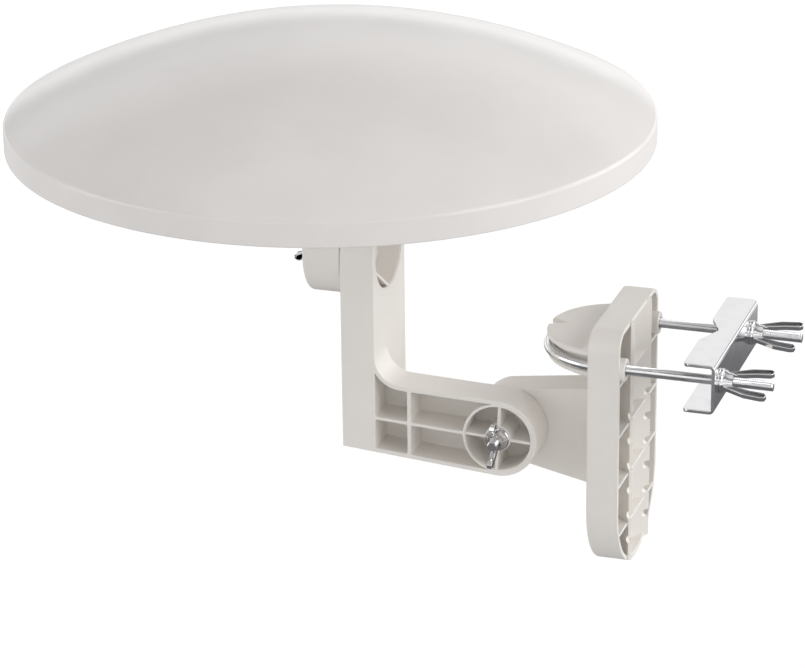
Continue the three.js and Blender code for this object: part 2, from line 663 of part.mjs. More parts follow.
function bottomCover() {
  const shell = atDisc(turned(coverProfile()));
  const stands = aroundDisc(ELEMENT_COUNT, 95, Math.PI / 4);
  const posts = stands.map((p) => bar('z', BELLY_Z + 5, ELEMENT_Z - GAP, 5, p, SMALL_FACETS));
  const boardPosts = [[-1, -1], [1, -1], [1, 1], [-1, 1]].map(([sx, sy]) =>
    bar('z', BELLY_Z + 1, BOARD_Z - GAP, 4, [DISC.x - 20 + sx * 38, DISC.y + sy * 22], SMALL_FACETS));
  const screwHoles = aroundDisc(COVER_SCREW_COUNT, COVER_SCREW_CIRCLE).map((p) =>
    bar('z', RIM_Z - 5, RIM_Z + 10, 1.8, p, SMALL_FACETS));
  const hubHoles = aroundDisc(HUB_SCREW_COUNT, HUB_SCREW_CIRCLE, Math.PI / 4).map((p) =>
    bar('z', BELLY_Z - 1, BELLY_Z + SHELL + 1, 2.4, p, SMALL_FACETS));
  const cableHole = bar('z', BELLY_Z - 1, BELLY_Z + SHELL + 1, 5.3, F_CONNECTOR, MEDIUM_FACETS);
  return cut(join(shell, ...posts, ...boardPosts), ...screwHoles, ...hubHoles, cableHole);
}

function rimSeal() {
  const z0 = COVER_EDGE_Z + SHELL + GAP;
  const z1 = z0 + 1.8;
  return atDisc(turned([[177, z0], [181.5, z0], [181.5, z1], [177, z1], [177, z0]]));
}

// The bracket screwed under the disc: a round flange with a lug for the tilt bolt.
function hubBracket() {
  const flangeTop = BELLY_Z - GAP;
  const flangeFoot = flangeTop - HUB_FLANGE_THICKNESS;
  const flange = bar('z', flangeFoot, flangeTop, HUB_FLANGE_RADIUS, [DISC.x, DISC.y], BIG_FACETS);
  const lugFront = LIMB_BACK_X - GAP;
  const lug = prismX(roundEndOutline(flangeTop - 1, 0), LUG_BACK_X, lugFront, MEDIUM_FACETS);
  const bore = bar('x', LUG_BACK_X - 1, lugFront + 1, BOLT_HOLE_RADIUS, [DISC.y, TILT_Z]);
  const holes = aroundDisc(HUB_SCREW_COUNT, HUB_SCREW_CIRCLE, Math.PI / 4).map((p) =>
    bar('z', flangeFoot - 1, flangeTop + 1, 2.4, p, SMALL_FACETS));
  return cut(join(flange, lug), bore, ...holes);
}

// One of the receiving elements: a flat sheet sector with a slot, so that it forms a loop.
function receivingElement(index) {
  const sector = (inner, outer, half, middle) => {
    const shape = new THREE.Shape();
    shape.absarc(0, 0, outer, middle - half, middle + half, false);
    shape.absarc(0, 0, inner, middle + half, middle - half, true);
    return shape;
  };
  const middle = Math.PI / 4 + (index * 2 * Math.PI) / ELEMENT_COUNT;
  const plate = prismZ(sector(88, 156, 0.62, middle), ELEMENT_Z, ELEMENT_Z + 1, 6);
  const slot = prismZ(sector(102, 138, 0.48, middle), ELEMENT_Z - 1, ELEMENT_Z + 2, 5);
  return atDisc(cut(plate, slot));
}

function amplifierBoard() {
  const board = block([DISC.x - 66, DISC.y - 28, BOARD_Z], [DISC.x + 26, DISC.y + 28, BOARD_Z + 1.6]);
  return cut(board, bar('z', BOARD_Z - 1, BOARD_Z + 3, 2.2, F_CONNECTOR, SMALL_FACETS));
}

function shieldCan() {
  const z0 = BOARD_Z + 1.6 + GAP;
  return cut(
    block([DISC.x - 34, DISC.y - 18, z0], [DISC.x + 12, DISC.y + 18, z0 + 9]),
    block([DISC.x - 33.4, DISC.y - 17.4, z0 - 1], [DISC.x + 11.4, DISC.y + 17.4, z0 + 8.4]),
  );
}

function fConnector() {
  const [x, y] = F_CONNECTOR;
  const body = bar('z', BELLY_Z - 14, BELLY_Z + 4, 4.7, [x, y]);
  const flange = bar('z', BELLY_Z + SHELL + GAP, BOARD_Z - GAP, 7, [x, y]);
  const pin = bar('z', BOARD_Z - 1, BOARD_Z + 4, 1.2, [x, y], SMALL_FACETS);
  const socket = bar('z', BELLY_Z - 15, BELLY_Z - 5, 3.4, [x, y], SMALL_FACETS);
  return cut(join(body, flange, pin), socket);
}

function fConnectorNut() {
  const [x, y] = F_CONNECTOR;
  return cut(
    prismZ(hexagon(14, [x, y]), BELLY_Z - GAP - 3, BELLY_Z - GAP),
    bar('z', BELLY_Z - 10, BELLY_Z + 1, 5, [x, y]),
  );
}

// A thin coaxial jumper from the amplifier board to one receiving element.
function feedCable(side) {
  const y = DISC.y + side * 24;
  const path = new THREE.CatmullRomCurve3([
    new THREE.Vector3(DISC.x + 20, y, BOARD_Z + 3.2),
    new THREE.Vector3(DISC.x + 32, y + side * 14, BOARD_Z + 6),
    new THREE.Vector3(DISC.x + 41, y + side * 34, ELEMENT_Z - 6),
    new THREE.Vector3(DISC.x + 46, y + side * 54, ELEMENT_Z - 2.2),
  ]);
  const ring = new THREE.Shape();
  ring.absarc(0, 0, 1.3, 0, 2 * Math.PI, false);
  return toSolid(new THREE.ExtrudeGeometry(ring, { steps: 14, curveSegments: 4, extrudePath: path }));
}

// ---- Assembly -------------------------------------------------------------------------------

const group = new THREE.Group();

function place(name, solid, makeMaterial, position = [0, 0, 0], rotation = [0, 0, 0]) {
  const mesh = new THREE.Mesh(toGeometry(solid), makeMaterial());
  mesh.name = name;
  mesh.position.set(...position);
  mesh.rotation.set(...rotation);
  group.add(mesh);
}

const TURN = Math.PI / 2;
const TOWARDS_PLUS_X = [0, TURN, 0];
const TOWARDS_MINUS_X = [0, -TURN, 0];
const TOWARDS_MINUS_Y = [TURN, 0, 0];

// Clamp, the part that stays on the mast
place('clamp_body', clampBody(), whiteBracket);
place('u_bolt', uBolt(), platedSteel);
const elbowHeadFace = KNUCKLE_HALF_THICKNESS - HEX_HEAD_HEIGHT;
const elbowBoltLength = elbowHeadFace - ARM_NEAR_Y + 12;
const elbowBolt = hexBolt(elbowBoltLength);
place('elbow_bolt', elbowBolt, platedSteel, [ELBOW.x, elbowHeadFace, ELBOW.z], TOWARDS_MINUS_Y);
const elbowBossFace = ARM_NEAR_Y + 0.5 - GAP;
place('elbow_washer', washer(), platedSteel, [ELBOW.x, elbowBossFace, ELBOW.z], TOWARDS_MINUS_Y);
const elbowNutFace = elbowBossFace - WASHER_THICKNESS - GAP;
const elbowNutTurn = [TURN, 0, TURN - ELBOW_NUT_TURN];
const elbowNut = wingNut(SHORT_WING_REACH);
place('elbow_wing_nut', elbowNut, platedSteel, [ELBOW.x, elbowNutFace, ELBOW.z], elbowNutTurn);

// V plate and its nuts, which slide along the U-bolt's legs
place('clamp_plate', clampPlate(), platedSteel);
for (const [word, side] of [['near', -1], ['far', 1]]) {
  const y = side * BEND_RADIUS;
  const washerX = PLATE_OUTER_X + GAP;
  place(`plate_washer_${word}`, washer(), platedSteel, [washerX, y, 0], TOWARDS_PLUS_X);
  const nutX = washerX + WASHER_THICKNESS + GAP;
  const turn = [TURN + PLATE_NUT_TURN, TURN, 0];
  place(`plate_wing_nut_${word}`, wingNut(LONG_WING_REACH), platedSteel, [nutX, y, 0], turn);
}

// Arm and its tilt bolt
place('l_arm', lArm(), whiteBracket);
const tiltHeadFace = LIMB_FRONT_X - TILT_POCKET_DEPTH + GAP;
const tiltBoltLength = tiltHeadFace - LUG_BACK_X + 12;
const tiltBolt = hexBolt(tiltBoltLength);
place('tilt_bolt', tiltBolt, platedSteel, [tiltHeadFace, DISC.y, TILT_Z], TOWARDS_MINUS_X);
place('tilt_washer', washer(), platedSteel, [LUG_BACK_X - GAP, DISC.y, TILT_Z], TOWARDS_MINUS_X);
const tiltNutX = LUG_BACK_X - WASHER_THICKNESS - 2 * GAP;
place('tilt_wing_nut', wingNut(SHORT_WING_REACH), platedSteel, [tiltNutX, DISC.y, TILT_Z], TOWARDS_MINUS_X);

// Disc
place('radome_top', radomeTop(), whiteShell);
place('bottom_cover', bottomCover(), whiteShell);
place('rim_seal', rimSeal(), darkSeal);
aroundDisc(COVER_SCREW_COUNT, COVER_SCREW_CIRCLE).forEach(([x, y], i) => {
  place(`cover_screw_${i + 1}`, panScrew(1.5, 10, 3, 1.2), platedSteel, [x, y, COVER_EDGE_Z - GAP]);
});
place('hub_bracket', hubBracket(), whiteBracket);
const hubScrewZ = BELLY_Z - 2 * GAP - HUB_FLANGE_THICKNESS;
aroundDisc(HUB_SCREW_COUNT, HUB_SCREW_CIRCLE, Math.PI / 4).forEach(([x, y], i) => {
  place(`hub_screw_${i + 1}`, panScrew(2, 9, 4, 2), platedSteel, [x, y, hubScrewZ]);
});
for (let i = 0; i < ELEMENT_COUNT; i += 1) {
  place(`receiving_element_${i + 1}`, receivingElement(i), aluminium);
}
place('amplifier_board', amplifierBoard(), boardGreen);
place('shield_can', shieldCan(), tinPlate);
place('f_connector', fConnector(), tinPlate);
place('f_connector_nut', fConnectorNut(), tinPlate);
place('feed_cable_1', feedCable(-1), blackCable);
place('feed_cable_2', feedCable(1), blackCable);

export default group;
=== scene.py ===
"""The finished look of an outdoor disc antenna on a tilting arm and a mast clamp.

Sizes are in millimetres and become metres when a mesh is made. Places come from the frame.
"""

import json
import math

import bmesh
import bpy
from mathutils import Matrix, Vector


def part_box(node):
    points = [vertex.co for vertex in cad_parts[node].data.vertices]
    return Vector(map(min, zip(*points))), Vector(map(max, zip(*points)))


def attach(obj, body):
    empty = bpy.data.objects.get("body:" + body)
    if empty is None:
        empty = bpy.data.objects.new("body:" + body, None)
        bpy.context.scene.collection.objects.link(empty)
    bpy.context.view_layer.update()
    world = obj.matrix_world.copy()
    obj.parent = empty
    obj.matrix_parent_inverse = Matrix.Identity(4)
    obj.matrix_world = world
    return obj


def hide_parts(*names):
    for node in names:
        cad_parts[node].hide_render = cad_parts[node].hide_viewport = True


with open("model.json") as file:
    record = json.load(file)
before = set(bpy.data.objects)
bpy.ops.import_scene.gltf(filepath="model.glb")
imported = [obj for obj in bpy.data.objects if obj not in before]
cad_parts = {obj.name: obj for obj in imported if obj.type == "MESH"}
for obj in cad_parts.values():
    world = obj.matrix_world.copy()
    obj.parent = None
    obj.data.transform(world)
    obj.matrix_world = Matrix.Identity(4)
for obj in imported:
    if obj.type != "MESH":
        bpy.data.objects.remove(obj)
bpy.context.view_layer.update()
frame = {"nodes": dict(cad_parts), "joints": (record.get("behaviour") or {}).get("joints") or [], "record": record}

# ---- Sizes in millimetres ----

MM = 0.001
EDGE = 0.45  # radius on the rim of a moulding
CREASE = 0.9  # fillet at the foot of a pocket
WALL = 2.6
RIB = 1.8
CELL_CORNER = 1.3
GAP = 0.3  # between mouldings that turn or slide on each other
MAST_RADIUS = 25

ARM_FILLET = 16
LIMB_THICKNESS = 20
LIMB_FOOT_ABOVE_ELBOW = -16.1
ARM_TOP_ABOVE_ELBOW = 25.7
ARM_UPRIGHT_RIB = 20.4  # from the upright limb's front to the rib across the lower limb
ARM_SPINE_START_ABOVE_ELBOW = 3.7
ELBOW_POCKET_RADIUS = 19.2
TILT_POCKET_RADIUS = 23.5
TILT_POCKET_DEPTH = 14
TILT_RIB_DISTANCE = 19
TILT_RIB_LEAN = math.radians(55)
RIBS_BELOW_FACE = 0.5
BOSS_RADIUS = 7.6
BACK_ROWS = 3
BACK_CORNER = 1.4

BLOCK_DEPTH = 18.6
BLOCK_CORNER = 12
BLOCK_RIB_TOP_Z = -9
BLOCK_RIB_PITCH = 31
BLOCK_RIB_COUNT = 4
GROOVE_FLOOR_HALF = 4.2
TOOTH_TIP_X = 15
NOTCH_TOP_Z = -35
NOTCH_PITCH = 15.4
NOTCH_COUNT = 6
NOTCH_RADIUS = 2.6
NOTCH_HALF_LENGTH = 26
NOTCH_CENTRE_INSIDE = 0.8
LEG_BOSS_RADIUS = 6.5

SADDLE_RIM_INSIDE_ROD = 1.9
SADDLE_TOP_Z = 9.5
SADDLE_FLANGE = 3.7
SADDLE_FOOT_Z = -9.5
SADDLE_FOOT_RADIUS = 33.5
SADDLE_FILLET = 5
SADDLE_NOTCH_HALF = 6.5
SADDLE_NOTCH_DEPTH = 11

KNUCKLE_RADIUS = 21
KNUCKLE_HALF = 11
KNUCKLE_TOP_Z = -24
KNUCKLE_BOTTOM_Z = -86
KNUCKLE_RIBS_X = (-32, -12)
KNUCKLE_ROOF_MEETS_RING = 62  # degrees round the elbow
KNUCKLE_FOOT_MEETS_RING = -46

ROD_RADIUS = 3
BOLT_HOLE = ROD_RADIUS + 0.4
PLATE_HOLE = ROD_RADIUS + 0.5
LEG_HOLE = ROD_RADIUS + 0.6
THREAD_PITCH = 1
THREAD_DEPTH = 0.6
BOLT_THREAD_LENGTH = 20
HEX_ACROSS = 10
HEX_HEIGHT = 4
WASHER_CLOSES = 0.25
BOLT_SPIN = 30  # degrees that each bolt and nut is turned about its axis
ELBOW_NUT_SPIN = 86
TILT_NUT_SPIN = 90
PLATE_NUT_SPIN = 13
WING_SPREAD = 13.7
WING_HUB_HEIGHT = 5.5
WING_ROOT = 4.2
WING_RIM_START = 7.2
WING_RIM = 1.35
WING_HALF_THICK = 1.4
WING_WEB = 0.8

PLATE_SHEET = 2
PLATE_BEND = 3.2
PLATE_SLOPE = 0.45
PLATE_CORNER = 3

DOME_RISE = 47
SKIRT = 15
LIP = 3
SHELL = 2.5
COVER_INSIDE_RIM = 1.5
BELLY_FLAT_RADIUS = 60
BELLY_RISE = 4
RIM_SCREWS = 6
RIM_SCREW_HEAD = 1.2
RIM_SCREW_SHANK = 1.5
HUB_FLANGE = 5
HUB_EDGE = 1.2
HUB_SCREWS = 4
HUB_SCREW_HEAD = 2
HUB_SCREW_SHANK = 2
HUB_SCREW_HOLE = HUB_SCREW_SHANK + 0.4
LUG_BACK_X = -177
CONNECTOR_STEPS = 110
CONNECTOR_RADIUS = 4.7
CONNECTOR_THREAD = (0.35, CONNECTOR_RADIUS, 0.8)  # depth, radius, pitch
CONNECTOR_SOCKET = 3.4
CONNECTOR_FLANGE = 7
CONNECTOR_PIN = 1.2
CONNECTOR_NUT_ACROSS = 14

# ---- The frame ----

JOINTS = {joint["name"]: joint for joint in frame["joints"]}
BODY_OF = {node: body for body, nodes in frame["record"]["behaviour"]["bodies"].items() for node in nodes}
SLOT_OF = {part["node"]: part["material_slot"] for part in frame["record"]["subparts"]}


def box_mm(node):
    low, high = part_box(node)
    return low / MM, high / MM


def middle_of(node):
    low, high = box_mm(node)
    return (low + high) / 2


def joint_mm(name):
    return Vector(JOINTS[name]["pos_m"]) / MM


ELBOW = joint_mm("arm_tilt")
TILT = joint_mm("disc_tilt")
ARM_LOW, ARM_HIGH = box_mm("l_arm")
CLAMP_LOW, CLAMP_HIGH = box_mm("clamp_body")
DISC_LOW, DISC_HIGH = box_mm("radome_top")
DISC_CENTRE = (DISC_LOW + DISC_HIGH) / 2
DISC_RADIUS = (DISC_HIGH.x - DISC_LOW.x) / 2
RIM_Z = DISC_LOW.z
DISC_BELLY_Z = box_mm("bottom_cover")[0].z
ROD_LOW, ROD_HIGH = box_mm("u_bolt")
BEND_RADIUS = ROD_HIGH.y - ROD_RADIUS
BEND_X = ROD_LOW.x + BEND_RADIUS + ROD_RADIUS
LEGS_YZ = [(-BEND_RADIUS, 0), (BEND_RADIUS, 0)]
BLOCK_BACK_X = -6
BLOCK_FRONT_X = BLOCK_BACK_X + BLOCK_DEPTH

# ---- Outlines ----


def on_circle(centre, radius, angle):
    a = math.radians(angle)
    return (centre[0] + radius * math.cos(a), centre[1] + radius * math.sin(a))


def arc(centre, radius, start, end, steps):
    """Points on an arc, with its angles in degrees."""
    return [on_circle(centre, radius, start + (end - start) * i / steps) for i in range(steps + 1)]


def area(outline):
    pairs = zip(outline, outline[1:] + outline[:1])
    return sum(a[0] * b[1] - b[0] * a[1] for a, b in pairs) / 2


def inset(outline, distance):
    """The outline moved inwards, or outwards if the distance is negative."""
    side = 1 if area(outline) > 0 else -1
    moved = []
    for before, here, after in zip(outline[-1:] + outline[:-1], outline, outline[1:] + outline[:1]):
        come = (Vector(here) - Vector(before)).normalized()
        go = (Vector(after) - Vector(here)).normalized()
        normals = [Vector((-d.y, d.x)) * side for d in (come, go)]
        shift = (normals[0] + normals[1]) / (1 + normals[0].dot(normals[1]))
        moved.append(tuple(Vector(here) + shift * distance))
    return moved


def round_corners(points, radius, steps=4):
    """The polygon with an arc of that radius, or less where a side is short, at each corner."""
    result = []
    for before, here, after in zip(points[-1:] + points[:-1], points, points[1:] + points[:1]):
        back = Vector(before) - Vector(here)
        ahead = Vector(after) - Vector(here)
        half = back.angle(ahead) / 2
        reach = min(radius / math.tan(half), back.length * 0.45, ahead.length * 0.45)
        first = Vector(here) + back.normalized() * reach
        last = Vector(here) + ahead.normalized() * reach
        for i in range(steps + 1):
            t = i / steps
            result.append(tuple(first * (1 - t) ** 2 + Vector(here) * 2 * t * (1 - t) + last * t * t))
    return result


def clip(outline, axis, limit, keep_above):
    """The part of a convex outline on one side of a line across an axis."""
    def inside(p):
        return p[axis] >= limit if keep_above else p[axis] <= limit

    result = []
    for a, b in zip(outline, outline[1:] + outline[:1]):
        if inside(a):
            result.append(a)
        if inside(a) != inside(b):
            t = (limit - a[axis]) / (b[axis] - a[axis])
            result.append((a[0] + t * (b[0] - a[0]), a[1] + t * (b[1] - a[1])))
    return result


def tidy_outline(points, nearest=0.05):
    """The outline without points that lie on top of each other."""
    kept = [points[0]]
    for p in points[1:]:
        if math.dist(p, kept[-1]) > nearest:
            kept.append(p)
    if math.dist(kept[0], kept[-1]) < nearest:
        kept.pop()
    return kept


def line(a, b):
    """The height of the straight line through two points, at a place along it."""
    return lambda x: a[1] + (b[1] - a[1]) * (x - a[0]) / (b[0] - a[0])


def tangent(point, centre, radius, side):
    """The angle in degrees where a line from a point touches a circle."""
    dx, dy = point[0] - centre[0], point[1] - centre[1]
    lean = math.acos(radius / math.hypot(dx, dy))
    return math.degrees(math.atan2(dy, dx) + side * lean)


# ---- Meshes ----

PLACES = {"x": (1, 2, 0), "y": (0, 2, 1), "z": (0, 1, 2)}


def spread(outline, axis, station):
    """An outline's points in space, at a station along an axis."""
    first, second, along = PLACES[axis]
    points = []
    for a, b in outline:
        p = [0, 0, 0]
        p[first], p[second], p[along] = a, b, station
        points.append(p)
    return points


def linked(name, data):
    obj = bpy.data.objects.new(name, data)
    bpy.context.scene.collection.objects.link(obj)
    return obj


def to_object(build, name="solid"):
    bmesh.ops.recalc_face_normals(build, faces=build.faces)
    mesh = bpy.data.meshes.new(name)
    build.to_mesh(mesh)
    build.free()
    return linked(name, mesh)


def loft(rings):
    """A solid through rings of points that all have the same number of points."""
    build = bmesh.new()
    made = [[build.verts.new(Vector(p) * MM) for p in ring] for ring in rings]
    count = len(rings[0])
    for low, high in zip(made, made[1:]):
        for i in range(count):
            j = (i + 1) % count
            build.faces.new((low[i], low[j], high[j], high[i]))
    build.faces.new(made[0])
    build.faces.new(made[-1])
    return to_object(build)


def quarter(steps=4):
    return [math.radians(90 * i / steps) for i in range(steps + 1)]


def rounded_rim(outline, axis, station, way, edge):
    """Rings that round an outline's rim at a station, or flare it if the edge is negative."""
    if not edge:
        return [spread(outline, axis, station)]
    return [spread(inset(outline, edge * (1 - math.sin(a))), axis, station + way * edge * (1 - math.cos(a)))
            for a in quarter()]


def prism(outline, axis, start, stop, edge=0.0, edge_stop=None):
    """An outline run along an axis, with its two rims rounded."""
    edge_stop = edge if edge_stop is None else edge_stop
    way = 1 if stop > start else -1
    far_rim = rounded_rim(outline, axis, stop, -way, edge_stop)
    return loft(rounded_rim(outline, axis, start, way, edge) + far_rim[::-1])


def pocket(outline, axis, floor, mouth, edge=EDGE, crease=CREASE):
    """A tool that cuts a pocket with a filleted floor and a rounded rim."""
    way = 1 if mouth > floor else -1
    rings = rounded_rim(outline, axis, floor, way, crease)
    rings += rounded_rim(outline, axis, mouth, way, -edge)[::-1]
    return loft(rings + [spread(inset(outline, -edge), axis, mouth + way)])


def bar(axis, start, stop, radius, centre, edge=0.0, segments=64):
    return prism(arc(centre, radius, 0, 360, segments)[:-1], axis, start, stop, edge)


def lathe(profile, centre=(0, 0), segments=96):
    """A solid turned about an upright line. The profile is (radius, height) pairs."""
    build = bmesh.new()
    columns = []
    for radius, height in profile:
        if radius < 1e-6:
            columns.append([build.verts.new(Vector((centre[0], centre[1], height)) * MM)])
            continue
        ring = arc(centre, radius, 0, 360, segments)[:-1]
        columns.append([build.verts.new(Vector((x, y, height)) * MM) for x, y in ring])
    pairs = list(zip(columns, columns[1:]))
    if len(columns[0]) > 1:
        pairs.append((columns[-1], columns[0]))
    for low, high in pairs:
        for i in range(segments):
            j = (i + 1) % segments
            corners = [low[i % len(low)], low[j % len(low)], high[j % len(high)], high[i % len(high)]]
            unique = list(dict.fromkeys(corners))
            if len(unique) > 2:
                build.faces.new(unique)
    return to_object(build)


def combine(body, tools, operation):
    """The body with each tool cut from it or joined to it."""
    for tool in tools:
        modifier = body.modifiers.new("combine", "BOOLEAN")
        modifier.operation = operation
        modifier.solver = "MANIFOLD"
        modifier.object = tool
    graph = bpy.context.evaluated_depsgraph_get()
    mesh = bpy.data.meshes.new_from_object(body.evaluated_get(graph))
    body.modifiers.clear()
    body.data = mesh
    for tool in tools:
        bpy.data.objects.remove(tool)
    return body


def cut(body, *tools):
    return combine(body, tools, "DIFFERENCE")


def join(body, *tools):
    return combine(body, tools, "UNION")


def common(body, tool):
    return combine(body, [tool], "INTERSECT")


def aimed(origin, direction, spin=0.0):
    """The matrix that takes +Z at the origin to a direction at a place, after a turn in degrees."""
    lean = Vector(direction).to_track_quat("Z", "Y").to_matrix().to_4x4()
    turn = Matrix.Rotation(math.radians(spin), 4, "Z")
    return Matrix.Translation(Vector(origin) * MM) @ lean @ turn


def moved(obj, matrix):
    obj.data.transform(matrix)
    return obj


# ---- Materials ----


class Shader:
    """A material's node tree, with short ways to add and link nodes."""

    def __init__(self, name):
        self.material = bpy.data.materials.new(name)
        self.material.use_nodes = True
        self.nodes = self.material.node_tree.nodes
        self.links = self.material.node_tree.links
        self.surface = self.nodes["Principled BSDF"]
        self.place = self.nodes.new("ShaderNodeTexCoord").outputs["Object"]

    def set(self, **values):
        for name, value in values.items():
            self.surface.inputs[name].default_value = value

    def link(self, source, target):
        self.links.new(source, target)

    def noise(self, scale, detail=4.0, stretch=(1, 1, 1)):
        """Noise whose scale is its number of waves in a metre."""
        mapping = self.nodes.new("ShaderNodeMapping")
        mapping.inputs["Scale"].default_value = stretch
        node = self.nodes.new("ShaderNodeTexNoise")
        node.inputs["Scale"].default_value = scale
        node.inputs["Detail"].default_value = detail
        self.link(self.place, mapping.inputs["Vector"])
        self.link(mapping.outputs["Vector"], node.inputs["Vector"])
        return node.outputs["Fac"]

    def ramp(self, source, low, high, start=0.35, stop=0.65):
        """A value or colour that runs from low to high as the source crosses a range."""
        node = self.nodes.new("ShaderNodeMapRange")
        node.data_type = "FLOAT"
        node.inputs["From Min"].default_value = start
        node.inputs["From Max"].default_value = stop
        node.inputs["To Min"].default_value = low
        node.inputs["To Max"].default_value = high
        self.link(source, node.inputs["Value"])
        return node.outputs["Result"]

    def blend(self, factor, first, second):
        """A mix of two colours; either may be a fixed colour or a node's output."""
        node = self.nodes.new("ShaderNodeMix")
        node.data_type = "RGBA"
        self.link(factor, node.inputs["Factor"])
        sockets = [s for s in node.inputs if s.type == "RGBA"]
        for socket, value in zip(sockets, (first, second)):
            if isinstance(value, tuple):
                socket.default_value = (*value, 1)
            else:
                self.link(value, socket)
        return next(s for s in node.outputs if s.type == "RGBA")

    def bump(self, source, height, below=None):
        """Bump of a height in metres, over another bump if one is given."""
        node = self.nodes.new("ShaderNodeBump")
        node.inputs["Distance"].default_value = height
        self.link(source, node.inputs["Height"])
        if below:
            self.link(below, node.inputs["Normal"])
        return node.outputs["Normal"]

    def edge_mask(self, radius):
        """One on edges within a radius in metres, and zero on flat faces."""
        bevel = self.nodes.new("ShaderNodeBevel")
        bevel.samples = 4
        bevel.inputs["Radius"].default_value = radius
        geometry = self.nodes.new("ShaderNodeNewGeometry")
        dot = self.nodes.new("ShaderNodeVectorMath")
        dot.operation = "DOT_PRODUCT"
        self.link(bevel.outputs["Normal"], dot.inputs[0])
        self.link(geometry.outputs["Normal"], dot.inputs[1])
        return self.ramp(dot.outputs["Value"], 1.0, 0.0, 0.9, 0.995)


def moulded_plastic(name, colour, worn, roughness, grain):
    """White plastic: faint flow marks, a fine grain, a dusting of grime and edges rubbed paler."""
    shader = Shader(name)
    tone = tuple(c * 0.965 for c in colour)
    clouds = shader.ramp(shader.noise(22, 3), 0, 1)
    body = shader.blend(clouds, colour, tone)
    specks = shader.ramp(shader.noise(900, 2), 0, 0.07, 0.66, 0.76)
    dusty = shader.blend(specks, body, tuple(c * 0.8 for c in colour))
    edge = shader.ramp(shader.edge_mask(0.0009), 0, 0.5, 0, 1)
    shader.link(shader.blend(edge, dusty, worn), shader.surface.inputs["Base Color"])
    smears = shader.ramp(shader.noise(35, 3, (1, 1, 0.4)), roughness - 0.02, roughness + 0.03, 0.2, 0.8)
    shader.link(smears, shader.surface.inputs["Roughness"])
    waves = shader.bump(shader.noise(60, 2), 0.00006)
    shader.link(shader.bump(shader.noise(grain, 3), 0.00003, waves), shader.surface.inputs["Normal"])
    shader.set(IOR=1.5)
    return shader.material


def plated_metal(name, colour, roughness):
    """Bright plate: fine scratches, cloudy patches and a rougher skin where it has been handled."""
    shader = Shader(name)
    dull = tuple(c * 0.8 for c in colour)
    patches = shader.ramp(shader.noise(90, 4), 0, 0.3, 0.45, 0.75)
    shader.link(shader.blend(patches, colour, dull), shader.surface.inputs["Base Color"])
    handled = shader.ramp(shader.noise(140, 5), roughness * 0.8, roughness * 1.4)
    shader.link(handled, shader.surface.inputs["Roughness"])
    shader.link(shader.bump(shader.noise(1800, 2), 0.000012), shader.surface.inputs["Normal"])
    shader.set(Metallic=1.0)
    return shader.material


def coloured(name, colour, other, roughness, scale, height, metallic=0.0):
    """A plain stuff with two tones and a grain, for pieces inside the shell."""
    shader = Shader(name)
    tones = shader.ramp(shader.noise(scale, 4), 0, 1)
    shader.link(shader.blend(tones, colour, other), shader.surface.inputs["Base Color"])
    rough = shader.ramp(shader.noise(scale * 2, 3), roughness - 0.08, roughness + 0.08)
    shader.link(rough, shader.surface.inputs["Roughness"])
    shader.link(shader.bump(shader.noise(scale * 6, 3), height), shader.surface.inputs["Normal"])
    shader.set(Metallic=metallic)
    return shader.material


MATERIALS = {name: make(name, *looks) for name, make, *looks in (
    ("shell_plastic", moulded_plastic, (0.86, 0.83, 0.81), (0.89, 0.87, 0.85), 0.24, 1500),
    ("bracket_plastic", moulded_plastic, (0.88, 0.845, 0.80), (0.9, 0.875, 0.84), 0.4, 2200),
    ("plated_steel", plated_metal, (0.82, 0.82, 0.83), 0.09),
    ("seal_rubber", coloured, (0.02, 0.02, 0.022), (0.035, 0.035, 0.04), 0.75, 400, 0.00004),
    ("element_sheet", coloured, (0.72, 0.73, 0.74), (0.6, 0.61, 0.63), 0.35, 120, 0.00001, 1.0),
    ("circuit_board", coloured, (0.02, 0.13, 0.05), (0.03, 0.18, 0.07), 0.4, 160, 0.00002),
    ("tin_plate", coloured, (0.66, 0.67, 0.69), (0.5, 0.51, 0.53), 0.3, 150, 0.00001, 1.0),
    ("cable_jacket", coloured, (0.015, 0.015, 0.017), (0.03, 0.03, 0.033), 0.5, 500, 0.00003),
)}


def smooth(obj):
    obj.data.shade_smooth()
    obj.data.set_sharp_from_angle(angle=math.radians(38))
    even = obj.modifiers.new("even_shading", "WEIGHTED_NORMAL")
    even.keep_sharp = True


def stand_for(obj, node):
    """The piece is finished: it takes a CAD node's place, body and material slot."""
    obj.name = node + "_fine"
    obj.data.name = obj.name
    obj.data.materials.clear()
    obj.data.materials.append(MATERIALS[SLOT_OF[node]])
    smooth(obj)
    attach(obj, BODY_OF[node])
    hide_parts(node)


# ---- Arm ----

LIMB_BACK_X = ARM_LOW.x
LIMB_FRONT_X = LIMB_BACK_X + LIMB_THICKNESS
LIMB_HALF = (ARM_HIGH.y - ARM_LOW.y) / 2
LIMB_Y = (ARM_HIGH.y + ARM_LOW.y) / 2
LIMB_BOTTOM_Z = ELBOW.z + LIMB_FOOT_ABOVE_ELBOW
ELBOW_RADIUS = 23
ELBOW_XZ = (ELBOW.x, ELBOW.z)
TILT_YZ = (TILT.y, TILT.z)
ARM_NEAR_Y = ARM_LOW.y
ARM_FAR_Y = -KNUCKLE_HALF - GAP
UPRIGHT_RIB_X = LIMB_FRONT_X + ARM_UPRIGHT_RIB
THICK_RIB = RIB * 1.2
SPINE_Z = line((LIMB_FRONT_X, ELBOW.z + ARM_SPINE_START_ABOVE_ELBOW), ELBOW_XZ)


def round_end(foot_z):
    """The upright limb seen along X: straight sides and a half-round top."""
    return [(LIMB_Y - LIMB_HALF, foot_z), (LIMB_Y + LIMB_HALF, foot_z)] + arc(TILT_YZ, LIMB_HALF, 0, 180, 48)


